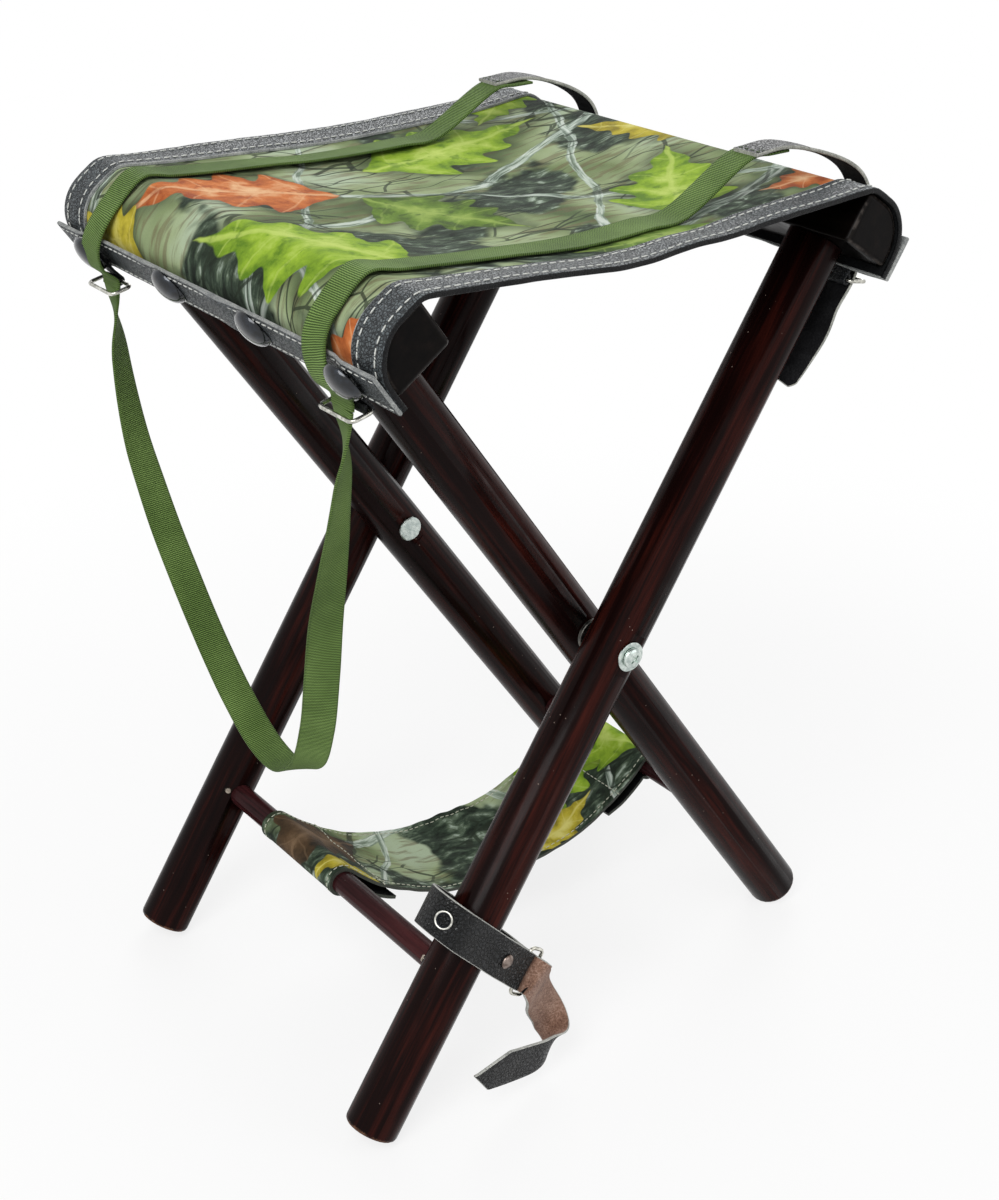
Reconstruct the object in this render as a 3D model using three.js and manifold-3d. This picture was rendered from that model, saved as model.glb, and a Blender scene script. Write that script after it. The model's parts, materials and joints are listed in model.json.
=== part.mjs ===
// Folding hunting stool: two crossed round-leg frames on a pivot, a canvas seat nailed over two rails,
// a cloth sling between the rungs, carrying webbing with leather ends, and a closing strap on one leg.
// Millimetres, +Z up, +X the way the legs spread, Y along the pivot. The origin is on the floor,
// half way between the feet. The outer frame stands with its feet at -X, the inner one at +X.
import * as THREE from 'three';
import { mergeVertices } from 'three/addons/utils/BufferGeometryUtils.js';
import Module from 'manifold-3d';

const wasm = await Module();
wasm.setup();

// Fits
const FIT = 0.3;
const CUT_OVERRUN = 5;

// Crossed frames
const LEG_ANGLE = THREE.MathUtils.degToRad(34.4);
const LEG_DIAMETER = 35;
const LEG_FOOT_REACH = 338;
const FOOT_EDGE = 3;
const LEG_GAP = 1.5;
const LEG_RADIUS = LEG_DIAMETER / 2;

// Top rails, square to the legs
const RAIL_REACH = 274;
const RAIL_LENGTH = 350;
const RAIL_INNER = 17.5;
const RAIL_OUTER = 22.5;
const RAIL_HEIGHT = 32;
const RAIL_ROUND = 24;
const RAIL_EDGE = 2;
const LEG_SETBACK = 39;
const RAIL_TOP = RAIL_REACH + RAIL_HEIGHT;
const OUTER_LEG_Y = RAIL_LENGTH / 2 - LEG_SETBACK;
const INNER_LEG_Y = OUTER_LEG_Y - LEG_DIAMETER - LEG_GAP;
const TENON_DIAMETER = 22;
const TENON_LENGTH = 22;

// Rungs and the nails that pin them
const RUNG_REACH = 226.5;
const RUNG_DIAMETER = 16;
const RUNG_INSERT = 13;
const PIN_DIAMETER = 2.2;
const PIN_HEAD_DIAMETER = 5;
const PIN_HEAD_HEIGHT = 1.2;
const PIN_LENGTH = 15;
const PIN_TURN = THREE.MathUtils.degToRad(53);

// Pivot screws with sleeve nuts
const SLEEVE_DIAMETER = 10;
const SCREW_DIAMETER = 6;
const SCREW_HEAD_DIAMETER = 13;
const SCREW_HEAD_HEIGHT = 3.4;
const SCREW_LENGTH = 26;
const WASHER_DIAMETER = 19;
const WASHER_THICKNESS = 1.4;
const SPACER_DIAMETER = 22;
const SEAT_DEPTH = 0.9;
const NUT_DISC_DIAMETER = 17;
const NUT_DISC_THICKNESS = 2.2;
const SLOT_WIDTH = 1.6;
const SLOT_DEPTH = 1;
const RECESS_LENGTH = 7;

// Seat cloth, its edge bindings and the nailed leather strips
const CLOTH = 1.2;
const CLOTH_OVERHANG = 0.4;
const CLOTH_DROP = 4.5;
const EDGE_SAG = 8;
const MIDDLE_SAG = 17;
const BINDING_WIDTH = 28;
const BINDING = 1.6;
const STRIP = 2;
const STRIP_HEIGHT = 28.5;
const STRIP_DROP = 5.5;
const STRIP_RAMP = 12;
const NAIL_HEAD_DIAMETER = 26;
const NAIL_HEAD_HEIGHT = 5;
const NAIL_SHANK_DIAMETER = 3;
const NAIL_LENGTH = 12;
const NAIL_RISE = 10;
const END_NAIL_SETBACK = 32;
const MIDDLE_NAIL_Y = 48;
const CLOTH_HALF_WIDTH = RAIL_LENGTH / 2 + CLOTH_OVERHANG;
const CLOTH_BOTTOM = RAIL_REACH - CLOTH_DROP;
const STRIP_BOTTOM = RAIL_REACH - STRIP_DROP;
const STRIP_HALF_LENGTH = CLOTH_HALF_WIDTH + BINDING;
const NAIL_REACH = RAIL_REACH + NAIL_RISE;
const END_NAIL_Y = RAIL_LENGTH / 2 - END_NAIL_SETBACK;

// Wire rings and buckles in their leather tabs
const WIRE = 2.5;
const RING_LENGTH = 34;
const RING_DEPTH = 16;
const RING_CORNER = 2.5;
const RING_INSET = 9;
const RING_STANDOFF = 8;
const RING_FALL = 11.5;
const RING_DROP = THREE.MathUtils.degToRad(12);
const TAB = 1.8;
const TAB_WIDTH = 14;
const TAB_INSET = 3.5;
const RING_Y = END_NAIL_Y - RING_INSET;
const RING_OUT = RAIL_OUTER + RING_STANDOFF;
const RING_REACH = RAIL_REACH - RING_FALL;
const TAB_Y = END_NAIL_Y - TAB_INSET;

// Carrying webbing and its leather ends
const WEBBING = 1.6;
const WEBBING_WIDTH = 21;
const WEBBING_INSET = 21;
const LOOP_INSET = 12;
const LOOP_DROP = 270;
const LOOP_LEAN = 10;
const SEAM_X = 104;
const SEAM_LENGTH = 28;
const SEAM_RISE = 17;
const RISE_START_X = 52;
const RUN_STANDOFF = 11;
const LEATHER = 2.2;
const STRAP_WIDTH = 20;
const STRAP_TOP_INSET = 18;
const STRAP_TAIL_INSET = 4;
const STRAP_STANDOFF = 12;
const TAIL_LENGTH = 72;
const TAIL_TWIST = THREE.MathUtils.degToRad(53);
const WEBBING_Y = END_NAIL_Y - WEBBING_INSET;
const LOOP_Y = END_NAIL_Y - LOOP_INSET;
const STRAP_TOP_Y = END_NAIL_Y - STRAP_TOP_INSET;
const STRAP_TAIL_Y = END_NAIL_Y - STRAP_TAIL_INSET;

// Lower sling round both rungs
const SLING = 1.8;
const SLING_SETBACK = 38;
const SLING_SAG = 50;
const SLING_FALL = THREE.MathUtils.degToRad(44);
const SLING_Y = 20;
const SLING_SKEW_SHARE = -0.06;
const FLAP_LENGTH = 30;
const SLING_WIDTH = 2 * (INNER_LEG_Y - LEG_RADIUS - SLING_SETBACK);

// Closing strap on the near outer leg
const CLOSING_WIDTH = 26;
const CLOSING_REACH = 199;
const CLOSING_TILT_SHARE = 0.25;
const CLOSING_STANDOFF = 2.1;
const CLOSING_SLACK = 18;
const CLOSING_EYE_X = 47.5;
const CLOSING_EYE_Y = 11;
const CLOSING_FOLD = 30;
const CLOSING_BUCKLE_LENGTH = 35;
const CLOSING_BUCKLE_DEPTH = 13.5;
const CLOSING_TAIL_LENGTH = 112;
const RIVET_DIAMETER = 10;
const RIVET_SHANK_DIAMETER = 4;
const RIVET_BACK_DIAMETER = 8;
const RIVET_X = 21;
const RIVET_TURN = THREE.MathUtils.degToRad(13);
const RIVET_SINK_SHARE = 0.45;
const EYELET_DIAMETER = 12;
const EYELET_HOLE = 6.4;
const EYELET_TURN = THREE.MathUtils.degToRad(30);

// Facets
const LEG_SIDES = 28;
const SMALL_SIDES = 16;
const HOLE_SIDES = 8;
const EDGE_STEPS = 3;
const NAIL_DOME_STEPS = 4;
const ROUND_STEPS = 7;
const SPAN_STEPS = 16;
const CLOTH_STEPS = 10;
const LYING_STEPS = 8;
const RUN_STEPS = 64;
const LOOP_STEPS = 72;
const CARRY_STEPS = 44;
const SLING_STEPS = 20;
const TAIL_STEPS = 26;

const PIVOT_HEIGHT = LEG_FOOT_REACH * Math.cos(LEG_ANGLE) + (LEG_RADIUS - FOOT_EDGE) * Math.sin(LEG_ANGLE)
  + FOOT_EDGE * (1 - Math.cos(LEG_ANGLE));

const OUTER = { side: 1, legY: OUTER_LEG_Y };
const INNER = { side: -1, legY: INNER_LEG_Y };
const NAIL_PLACES = [-END_NAIL_Y, -MIDDLE_NAIL_Y, MIDDLE_NAIL_Y, END_NAIL_Y];

// Materials

function paint(color, roughness, metalness = 0) {
  return () => new THREE.MeshStandardMaterial({ color, roughness, metalness });
}

const darkWood = paint(0x2a0f0c, 0.3);
const blackWood = paint(0x0d0a0a, 0.35);
const blackLeather = paint(0x17191c, 0.6);
const greyLeather = paint(0x3d434b, 0.75);
const camoCloth = paint(0x6c7d46, 0.9);
const greenWebbing = paint(0x4d6b33, 0.85);
const zinc = paint(0xb9b9b4, 0.35, 1);
const blackNail = paint(0x1a1d22, 0.25, 0.6);

// Solids

/** Turns a closed geometry into a solid that can be joined and cut. */
function solid(geometry) {
  const bare = geometry.index ? geometry.toNonIndexed() : geometry.clone();
  bare.deleteAttribute('normal');
  bare.deleteAttribute('uv');
  const merged = facingOut(mergeVertices(bare));
  return new wasm.Manifold(new wasm.Mesh({
    numProp: 3,
    vertProperties: new Float32Array(merged.attributes.position.array),
    triVerts: new Uint32Array(merged.index.array),
  }));
}

/** Turns a solid back into a geometry. */
function geometryOf(body) {
  const mesh = body.getMesh();
  const geometry = new THREE.BufferGeometry();
  geometry.setAttribute('position', new THREE.BufferAttribute(new Float32Array(mesh.vertProperties), 3));
  geometry.setIndex(new THREE.BufferAttribute(new Uint32Array(mesh.triVerts), 1));
  return geometry;
}

/** The same geometry with its shared points merged and its faces out. */
function solidGeometry(geometry) {
  return geometryOf(solid(geometry));
}

/** Cuts the tools out of a geometry. */
function cut(geometry, tools) {
  return geometryOf(tools.reduce((body, tool) => body.subtract(solid(tool)), solid(geometry)));
}

/** Joins geometries that overlap into one. */
function join(geometries) {
  return geometryOf(geometries.map(solid).reduce((body, next) => body.add(next)));
}

/** A round bar along Z from one height to another. */
function bar(radius, from, to, sides = SMALL_SIDES) {
  return new THREE.CylinderGeometry(radius, radius, to - from, sides)
    .rotateX(Math.PI / 2).translate(0, 0, (from + to) / 2);
}

/** A turned piece about Z from [radius, height] points that start and end on the axis. */
function turned(points, sides = SMALL_SIDES) {
  return new THREE.LatheGeometry(points.map(([r, z]) => new THREE.Vector2(r, z)), sides).rotateX(Math.PI / 2);
}

/** Extrudes an outline drawn in X and Z along Y, centred on y = 0. */
function slab(outline, width) {
  const shape = new THREE.Shape(outline.map(([x, z]) => new THREE.Vector2(x, z)));
  return new THREE.ExtrudeGeometry(shape, { depth: width, bevelEnabled: false, curveSegments: 1 })
    .rotateX(Math.PI / 2).translate(0, width / 2, 0);
}

/** Lays a closed section through stations, each with a point function, and caps both ends. */
function loft(stations, drawn) {
  const outline = drawn.map(([x, y]) => new THREE.Vector2(x, y));
  const section = THREE.ShapeUtils.isClockWise(outline) ? [...drawn].reverse() : drawn;
  const sides = section.length;
  const points = stations.flatMap((station) => section.map(([across, out]) => station(across, out)));
  const index = [];
  for (let i = 0; i + 1 < stations.length; i += 1) {
    for (let j = 0; j < sides; j += 1) {
      const [a, b] = [i * sides + j, i * sides + (j + 1) % sides];
      const [c, d] = [b + sides, a + sides];
      const shorter = points[a].distanceTo(points[c]) < points[b].distanceTo(points[d]);
      index.push(...(shorter ? [a, b, c, a, c, d] : [a, b, d, b, c, d]));
    }
  }
  const last = (stations.length - 1) * sides;
  const cap = THREE.ShapeUtils.triangulateShape(section.map(([x, y]) => new THREE.Vector2(x, y)), []);
  cap.forEach(([a, b, c]) => index.push(c, b, a, last + a, last + b, last + c));
  const geometry = new THREE.BufferGeometry().setFromPoints(points);
  geometry.setIndex(index);
  return facingOut(geometry);
}

/** Turns every face over if the geometry encloses a negative volume. */
function facingOut(geometry) {
  const at = geometry.attributes.position;
  const index = geometry.index.array;
  const [a, b, c] = [new THREE.Vector3(), new THREE.Vector3(), new THREE.Vector3()];
  let volume = 0;
  for (let i = 0; i < index.length; i += 3) {
    a.fromBufferAttribute(at, index[i]);
    b.fromBufferAttribute(at, index[i + 1]);
    c.fromBufferAttribute(at, index[i + 2]);
    volume += a.dot(b.cross(c));
  }
  if (volume < 0) {
    for (let i = 0; i < index.length; i += 3) {
      [index[i], index[i + 1]] = [index[i + 1], index[i]];
    }
  }
  return geometry;
}

/** A flat strap along a smooth route, its width turned as near to the wanted direction as the bend allows. */
function strap(route, widthAt, width, thickness, steps) {
  const curve = new THREE.CatmullRomCurve3(route, false, 'centripetal');
  const stations = Array.from({ length: steps + 1 }, (_, i) => {
    const share = i / steps;
    const middle = curve.getPointAt(share);
    const along = curve.getTangentAt(share);
    const wide = widthAt(share).clone();
    wide.addScaledVector(along, -wide.dot(along)).normalize();
    const thick = new THREE.Vector3().crossVectors(along, wide);
    return (across, out) => middle.clone().addScaledVector(wide, across).addScaledVector(thick, out);
  });
  const [w, t] = [width / 2, thickness / 2];
  return loft(stations, [[-w, -t], [w, -t], [w, t], [-w, t]]);
}

/** A ribbon outline of even thickness along points in a plane. */
function ribbonOutline(points, thickness) {
  const edge = (sign) => points.map((point, i) => {
    const before = points[Math.max(i - 1, 0)];
    const after = points[Math.min(i + 1, points.length - 1)];
    const along = new THREE.Vector2(after[0] - before[0], after[1] - before[1]).normalize();
    return [point[0] - sign * along.y * thickness / 2, point[1] + sign * along.x * thickness / 2];
  });
  return [...edge(1), ...edge(-1).reverse()];
}

/** Points of an arc as [x, y], angles in radians. */
function arc(x, y, radius, from, to, steps) {
  return Array.from({ length: steps + 1 }, (_, i) => {
    const angle = from + (to - from) * i / steps;
    return [x + radius * Math.cos(angle), y + radius * Math.sin(angle)];
  });
}

/** Profile points of a dome from its rim to its top. */
function dome(radius, seat, height, steps) {
  return arc(0, 0, 1, 0, Math.PI / 2, steps).map(([reach, rise], i) => (
    [i === steps ? 0 : radius * reach, seat + height * rise]));
}

/** Gives a geometry a name and a material as one piece. */
function piece(name, geometry, material) {
  const mesh = new THREE.Mesh(geometry, material());
  mesh.name = name;
  return mesh;
}

/** A wire rectangle with round corners in the plane of its length (Y) and depth (X), one bar on x = 0. */
function wireFrame(length, depth) {
  const [l, d, r] = [(length - WIRE) / 2, depth - WIRE, RING_CORNER];
  const corner = (x, y, from) => arc(x, y, r, from, from + Math.PI / 2, EDGE_STEPS);
  const points = [
    ...corner(d - r, l - r, 0), ...corner(r, l - r, Math.PI / 2),
    ...corner(r, r - l, Math.PI), ...corner(d - r, r - l, 3 * Math.PI / 2),
  ];
  const ring = points.map(([x, y]) => new THREE.Vector3(x, y, 0));
  const positions = ring.flatMap((point, i) => {
    const before = ring[(i + ring.length - 1) % ring.length];
    const along = ring[(i + 1) % ring.length].clone().sub(before).normalize();
    const outward = new THREE.Vector3(along.y, -along.x, 0);
    return Array.from({ length: HOLE_SIDES }, (_, j) => {
      const angle = 2 * Math.PI * j / HOLE_SIDES;
      return point.clone().addScaledVector(outward, WIRE / 2 * Math.cos(angle))
        .add(new THREE.Vector3(0, 0, WIRE / 2 * Math.sin(angle))).toArray();
    }).flat();
  });
  const index = ring.flatMap((_, i) => Array.from({ length: HOLE_SIDES }, (__, j) => {
    const [here, next] = [i * HOLE_SIDES, (i + 1) % ring.length * HOLE_SIDES];
    const beside = (j + 1) % HOLE_SIDES;
    return [here + j, here + beside, next + beside, here + j, next + beside, next + j];
  }).flat());
  const geometry = new THREE.BufferGeometry();
  geometry.setAttribute('position', new THREE.Float32BufferAttribute(positions, 3));
  geometry.setIndex(index);
  return facingOut(geometry);
}

// Places. In a frame's own plane, out is square to the legs and away from the stool, up is along the legs.

/** The point of the standing stool that lies out and up in a frame's plane. */
function framePoint(side, out, up, y = 0) {
  return new THREE.Vector3(
    side * (up * Math.sin(LEG_ANGLE) + out * Math.cos(LEG_ANGLE)),
    y,
    PIVOT_HEIGHT + up * Math.cos(LEG_ANGLE) - out * Math.sin(LEG_ANGLE),
  );
}

/** The upright group that holds one leaning frame. */
function leaningGroup(frame, meshes) {
  const group = new THREE.Group();
  group.position.z = PIVOT_HEIGHT;
  group.rotation.y = frame.side * LEG_ANGLE;
  group.add(...meshes);
  return group;
}

// Wooden frames

/** A round leg with a rounded foot, a tenon for the rail, and bores for the pivot, the rung and its nail. */
function leg(frame, end) {
  const shoulder = RAIL_REACH - FIT;
  const profile = [
    [0, -LEG_FOOT_REACH],
    ...arc(LEG_RADIUS - FOOT_EDGE, FOOT_EDGE - LEG_FOOT_REACH, FOOT_EDGE, -Math.PI / 2, 0, EDGE_STEPS),
    [LEG_RADIUS, shoulder], [TENON_DIAMETER / 2, shoulder],
    [TENON_DIAMETER / 2, shoulder + TENON_LENGTH], [0, shoulder + TENON_LENGTH],
  ];
  const pivotBore = bar(SLEEVE_DIAMETER / 2 + FIT, -LEG_DIAMETER, LEG_DIAMETER).rotateX(Math.PI / 2);
  const seatWidth = SPACER_DIAMETER + CUT_OVERRUN;
  const seatFace = (towards) => new THREE.BoxGeometry(seatWidth, CUT_OVERRUN, seatWidth)
    .translate(0, towards * (LEG_RADIUS - SEAT_DEPTH + CUT_OVERRUN / 2), 0);
  const mortise = bar(RUNG_DIAMETER / 2 + FIT, 0, LEG_DIAMETER).rotateX(end * Math.PI / 2)
    .translate(0, -end * (LEG_RADIUS - RUNG_INSERT - FIT), -RUNG_REACH);
  return cut(turned(profile, LEG_SIDES), [pivotBore, seatFace(1), seatFace(-1), mortise, pinBore(frame, end)])
    .translate(0, end * frame.legY, 0);
}

/** Turns a piece that points along Z to a rung nail's direction, about the axis of the leg at rung height. */
function pinDirection(frame, end, geometry) {
  return geometry.rotateY(-frame.side * Math.PI / 2).rotateZ(frame.side * end * PIN_TURN)
    .translate(0, 0, -RUNG_REACH);
}

/** The bore of a rung's nail, about the axis of the leg. */
function pinBore(frame, end) {
  return pinDirection(frame, end, bar(PIN_DIAMETER / 2 + FIT, 0, LEG_DIAMETER, HOLE_SIDES));
}

/** The small nail that pins a rung in its leg, its head on the leg's skin. */
function rungPin(frame, end) {
  const seat = LEG_RADIUS + FIT;
  const profile = [
    [0, seat - PIN_LENGTH], [PIN_DIAMETER / 2, seat - PIN_LENGTH + PIN_DIAMETER], [PIN_DIAMETER / 2, seat],
    [PIN_HEAD_DIAMETER / 2, seat], [PIN_HEAD_DIAMETER / 2 - PIN_HEAD_HEIGHT / 2, seat + PIN_HEAD_HEIGHT],
    [0, seat + PIN_HEAD_HEIGHT],
  ];
  return pinDirection(frame, end, turned(profile, HOLE_SIDES)).translate(0, end * frame.legY, 0);
}

/** A round rung between two legs, bored for its two nails. */
function rung(frame) {
  const half = frame.legY - LEG_RADIUS + RUNG_INSERT;
  const bores = [-1, 1].map((end) => pinBore(frame, end).translate(0, end * frame.legY, 0));
  return cut(bar(RUNG_DIAMETER / 2, -half, half).rotateX(Math.PI / 2).translate(0, 0, -RUNG_REACH), bores);
}

/** A top rail, its outer upper corner rounded for the cloth, bored for the legs and the seat nails. */
function rail(frame) {
  const { side } = frame;
  const e = RAIL_EDGE;
  const outline = [
    [-RAIL_INNER + e, RAIL_REACH + e], [RAIL_OUTER - e, RAIL_REACH + e],
    ...arc(RAIL_OUTER - RAIL_ROUND, RAIL_TOP - RAIL_ROUND, RAIL_ROUND - e, 0, Math.PI / 2, ROUND_STEPS),
    [-RAIL_INNER + e, RAIL_TOP - e],
  ];
  const shape = new THREE.Shape(outline.map(([out, up]) => new THREE.Vector2(side * out, up)));
  const body = new THREE.ExtrudeGeometry(shape, {
    depth: RAIL_LENGTH - 2 * e,
    bevelThickness: e,
    bevelSize: e,
    bevelSegments: 1,
    curveSegments: 1,
  }).rotateX(Math.PI / 2).translate(0, RAIL_LENGTH / 2 - e, 0);
  const mortise = bar(TENON_DIAMETER / 2 + FIT, RAIL_REACH - CUT_OVERRUN, RAIL_REACH + TENON_LENGTH + FIT);
  const mortises = [-1, 1].map((end) => mortise.clone().translate(0, end * frame.legY, 0));
  return cut(body, [...mortises, ...nailBores(frame)]);
}

/** The bores of one rail's four seat nails, in the frame's own plane. */
function nailBores(frame) {
  const radius = NAIL_SHANK_DIAMETER / 2 + FIT;
  const bore = bar(radius, RAIL_OUTER - NAIL_LENGTH, RAIL_OUTER + LEG_DIAMETER, HOLE_SIDES)
    .rotateY(frame.side * Math.PI / 2);
  return NAIL_PLACES.map((y) => bore.clone().translate(0, y, NAIL_REACH));
}

// Pivots

const PIVOT_INSIDE = INNER_LEG_Y - LEG_RADIUS + SEAT_DEPTH;
const PIVOT_OUTSIDE = OUTER_LEG_Y + LEG_RADIUS - SEAT_DEPTH;
const SPACER_THICKNESS = LEG_GAP + 2 * SEAT_DEPTH - 2 * FIT;

/** Lays a piece that points along Z outwards along the pivot at one end. */
function alongPivot(geometry, end) {
  return geometry.rotateX(-end * Math.PI / 2).translate(0, 0, PIVOT_HEIGHT);
}

/** A flat ring that lies square to the pivot, from a distance outwards along it. */
function flatRing(diameter, thickness, hole, from, end) {
  const ring = [[hole / 2, from], [diameter / 2, from], [diameter / 2, from + thickness],
    [hole / 2, from + thickness], [hole / 2, from]];
  return alongPivot(turned(ring), end);
}

/** The washer under the screw's head. */
function pivotWasher(end) {
  return flatRing(WASHER_DIAMETER, WASHER_THICKNESS, SCREW_DIAMETER + 2 * FIT, PIVOT_OUTSIDE + FIT, end);
}

/** The spacer round the sleeve between the two legs. */
function pivotSpacer(end) {
  const from = INNER_LEG_Y + LEG_RADIUS - SEAT_DEPTH + FIT;
  return flatRing(SPACER_DIAMETER, SPACER_THICKNESS, SLEEVE_DIAMETER + 2 * FIT, from, end);
}

const SCREW_HEAD_SHARES = [[1, 0], [1, 0.33], [0.92, 0.59], [0.7, 0.81], [0.38, 0.95], [0, 1]];
const RECESS_TURN = Math.PI / 5;
const NUT_SLOT_TURN = Math.PI / 6;

/** The cross-head screw that comes in from outside. */
function pivotScrew(end) {
  const seat = PIVOT_OUTSIDE + 2 * FIT + WASHER_THICKNESS;
  const [r, h] = [SCREW_HEAD_DIAMETER / 2, SCREW_HEAD_HEIGHT];
  const profile = [
    [0, seat - SCREW_LENGTH], [SCREW_DIAMETER / 2, seat - SCREW_LENGTH], [SCREW_DIAMETER / 2, seat],
    ...SCREW_HEAD_SHARES.map(([reach, height]) => [reach * r, seat + height * h]),
  ];
  const recess = (turn) => new THREE.BoxGeometry(RECESS_LENGTH, SLOT_WIDTH, 2 * SLOT_DEPTH)
    .rotateZ(turn).translate(0, 0, seat + h);
  return alongPivot(cut(turned(profile), [recess(RECESS_TURN), recess(RECESS_TURN + Math.PI / 2)]), end);
}

/** The slotted sleeve nut whose barrel is the pivot that both legs turn on. */
function sleeveNut(end) {
  const back = PIVOT_INSIDE - FIT - NUT_DISC_THICKNESS;
  const seat = PIVOT_INSIDE - FIT;
  const tip = PIVOT_OUTSIDE - FIT;
  const profile = [[0, back], [NUT_DISC_DIAMETER / 2, back], [NUT_DISC_DIAMETER / 2, seat],
    [SLEEVE_DIAMETER / 2, seat], [SLEEVE_DIAMETER / 2, tip], [0, tip]];
  const bore = bar(SCREW_DIAMETER / 2 + FIT, tip - SCREW_LENGTH, tip + CUT_OVERRUN);
  const slot = new THREE.BoxGeometry(NUT_DISC_DIAMETER + CUT_OVERRUN, SLOT_WIDTH, 2 * SLOT_DEPTH)
    .rotateZ(NUT_SLOT_TURN).translate(0, 0, back);
  return alongPivot(cut(turned(profile), [bore, slot]), end);
}

// Seat. Every layer is lofted over the same run: up the outer face of one rail, over its round,
// across the sagging span and down the other rail, each at its own height over the wood.

const CORNER = framePoint(1, -RAIL_INNER, RAIL_TOP);
const BINDING_INNER = CLOTH_HALF_WIDTH + FIT + BINDING - BINDING_WIDTH;
/** How far the middle of the span hangs at a distance along the rails. */
function sagAt(y) {
  const share = Math.min(Math.abs(y) / CLOTH_HALF_WIDTH, 1);
  return MIDDLE_SAG + (EDGE_SAG - MIDDLE_SAG) * share * share;
}

/** Stations over one rail from a height on its outer face to its inner top corner. */
function railStations(side, bottom) {
  const round = arc(0, 0, 1, 0, Math.PI / 2, ROUND_STEPS).map(([c, s]) => (
    [RAIL_OUTER - RAIL_ROUND * (1 - c), RAIL_TOP - RAIL_ROUND * (1 - s), c, s]));
  return [[RAIL_OUTER, bottom, 1, 0], ...round].map(([out, up, c, s]) => (
    (y, height) => framePoint(side, out + height * c, up + height * s, y)));
}

/** Stations across the span between the rails' inner top corners. */
function spanStations() {
  return Array.from({ length: SPAN_STEPS + 1 }, (_, i) => {
    const share = 1 - 2 * i / SPAN_STEPS;
    return (y, height) => (
      new THREE.Vector3(share * CORNER.x, y, CORNER.z - sagAt(y) * (1 - share * share) + height));
  });
}

/** The whole run of the seat from one rail's outer face to the other's. */
function seatStations(bottom) {
  return [...railStations(1, bottom), ...spanStations(), ...railStations(-1, bottom).reverse()];
}

/** Steps from one place to another, both included. */
function stepsBetween(from, to, count) {
  return Array.from({ length: count + 1 }, (_, i) => from + (to - from) * i / count);
}

/** The canvas seat, bored for the seat nails. */
function seatCloth() {
  const inner = stepsBetween(-BINDING_INNER, BINDING_INNER, CLOTH_STEPS);
  const places = [-CLOTH_HALF_WIDTH, ...inner, CLOTH_HALF_WIDTH];
  const section = [...places.map((y) => [y, FIT]), ...places.map((y) => [y, FIT + CLOTH]).reverse()];
  const bores = [OUTER, INNER].flatMap((frame) => nailBores(frame).map((bore) => (
    bore.rotateY(frame.side * LEG_ANGLE).translate(0, 0, PIVOT_HEIGHT))));
  return cut(loft(seatStations(CLOTH_BOTTOM), section), bores);
}

/** The leather binding along one edge of the seat, with a lip over the cloth's cut edge. */
function binding(end) {
  const base = 2 * FIT + CLOTH;
  const lip = CLOTH_HALF_WIDTH + FIT;
  const outer = lip + BINDING;
  const top = base + BINDING;
  const section = [
    [BINDING_INNER, base], [lip, base], [lip, FIT], [outer, FIT], [outer, top], [BINDING_INNER, top],
  ];
  return facingOut(loft(seatStations(STRIP_BOTTOM), section).scale(1, end, 1));
}

const STRIP_OUT = RAIL_OUTER + 2 * FIT + CLOTH;
const STRIP_RAISED = STRIP_OUT + BINDING + FIT;
const TAB_OUT = STRIP_RAISED + STRIP + FIT;

/** The leather strip nailed over the end of the cloth, its ends raised over the bindings. */
function seatStrip(frame) {
  const [low, raised] = [STRIP_OUT + STRIP / 2, STRIP_RAISED + STRIP / 2];
  const end = [[low, BINDING_INNER - STRIP_RAMP], [raised, BINDING_INNER - FIT], [raised, STRIP_HALF_LENGTH]];
  const route = [...end.map(([out, y]) => [out, -y]).reverse(), ...end];
  const outline = ribbonOutline(route, STRIP).map(([out, y]) => new THREE.Vector2(frame.side * out, y));
  const shape = new THREE.Shape(outline);
  const body = new THREE.ExtrudeGeometry(shape, { depth: STRIP_HEIGHT, bevelEnabled: false })
    .translate(0, 0, STRIP_BOTTOM);
  return cut(body, nailBores(frame));
}

/** A large domed nail; the end ones also hold a tab, so they stand out by its thickness. */
function seatNail(frame, y) {
  const seat = Math.abs(y) === END_NAIL_Y ? TAB_OUT + TAB + FIT : STRIP_OUT + STRIP + FIT;
  const tip = RAIL_OUTER - NAIL_LENGTH + 2 * FIT;
  const shank = NAIL_SHANK_DIAMETER / 2;
  const profile = [
    [0, tip], [shank, tip + NAIL_SHANK_DIAMETER], [shank, seat],
    ...dome(NAIL_HEAD_DIAMETER / 2, seat, NAIL_HEAD_HEIGHT, NAIL_DOME_STEPS),
  ];
  return turned(profile).rotateY(frame.side * Math.PI / 2).translate(0, y, NAIL_REACH);
}

// Rings and buckles

const TAB_FOLD_FROM = THREE.MathUtils.degToRad(153);
const TAB_FOLD_TO = THREE.MathUtils.degToRad(423);
const TAB_END_SHARE = 0.45;

/** The leather tab that hangs from an end nail and folds round the back bar of a ring. */
function ringTab(frame, end) {
  const out = TAB_OUT + TAB / 2;
  const turn = WIRE / 2 + FIT + TAB / 2;
  const fold = arc(RING_OUT, RING_REACH, turn, TAB_FOLD_FROM, TAB_FOLD_TO, ROUND_STEPS + 2);
  const back = fold[fold.length - 1];
  const route = [
    [out, NAIL_REACH + TAB_WIDTH / 2], [out, STRIP_BOTTOM + TAB], ...fold,
    [out + (back[0] - out) * TAB_END_SHARE, back[1] + TAB * (1 - TAB_END_SHARE / 2)],
  ];
  const outline = ribbonOutline(route, TAB).map(([x, z]) => [frame.side * x, z]);
  return cut(slab(outline, TAB_WIDTH).translate(0, end * TAB_Y, 0), nailBores(frame));
}

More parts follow.
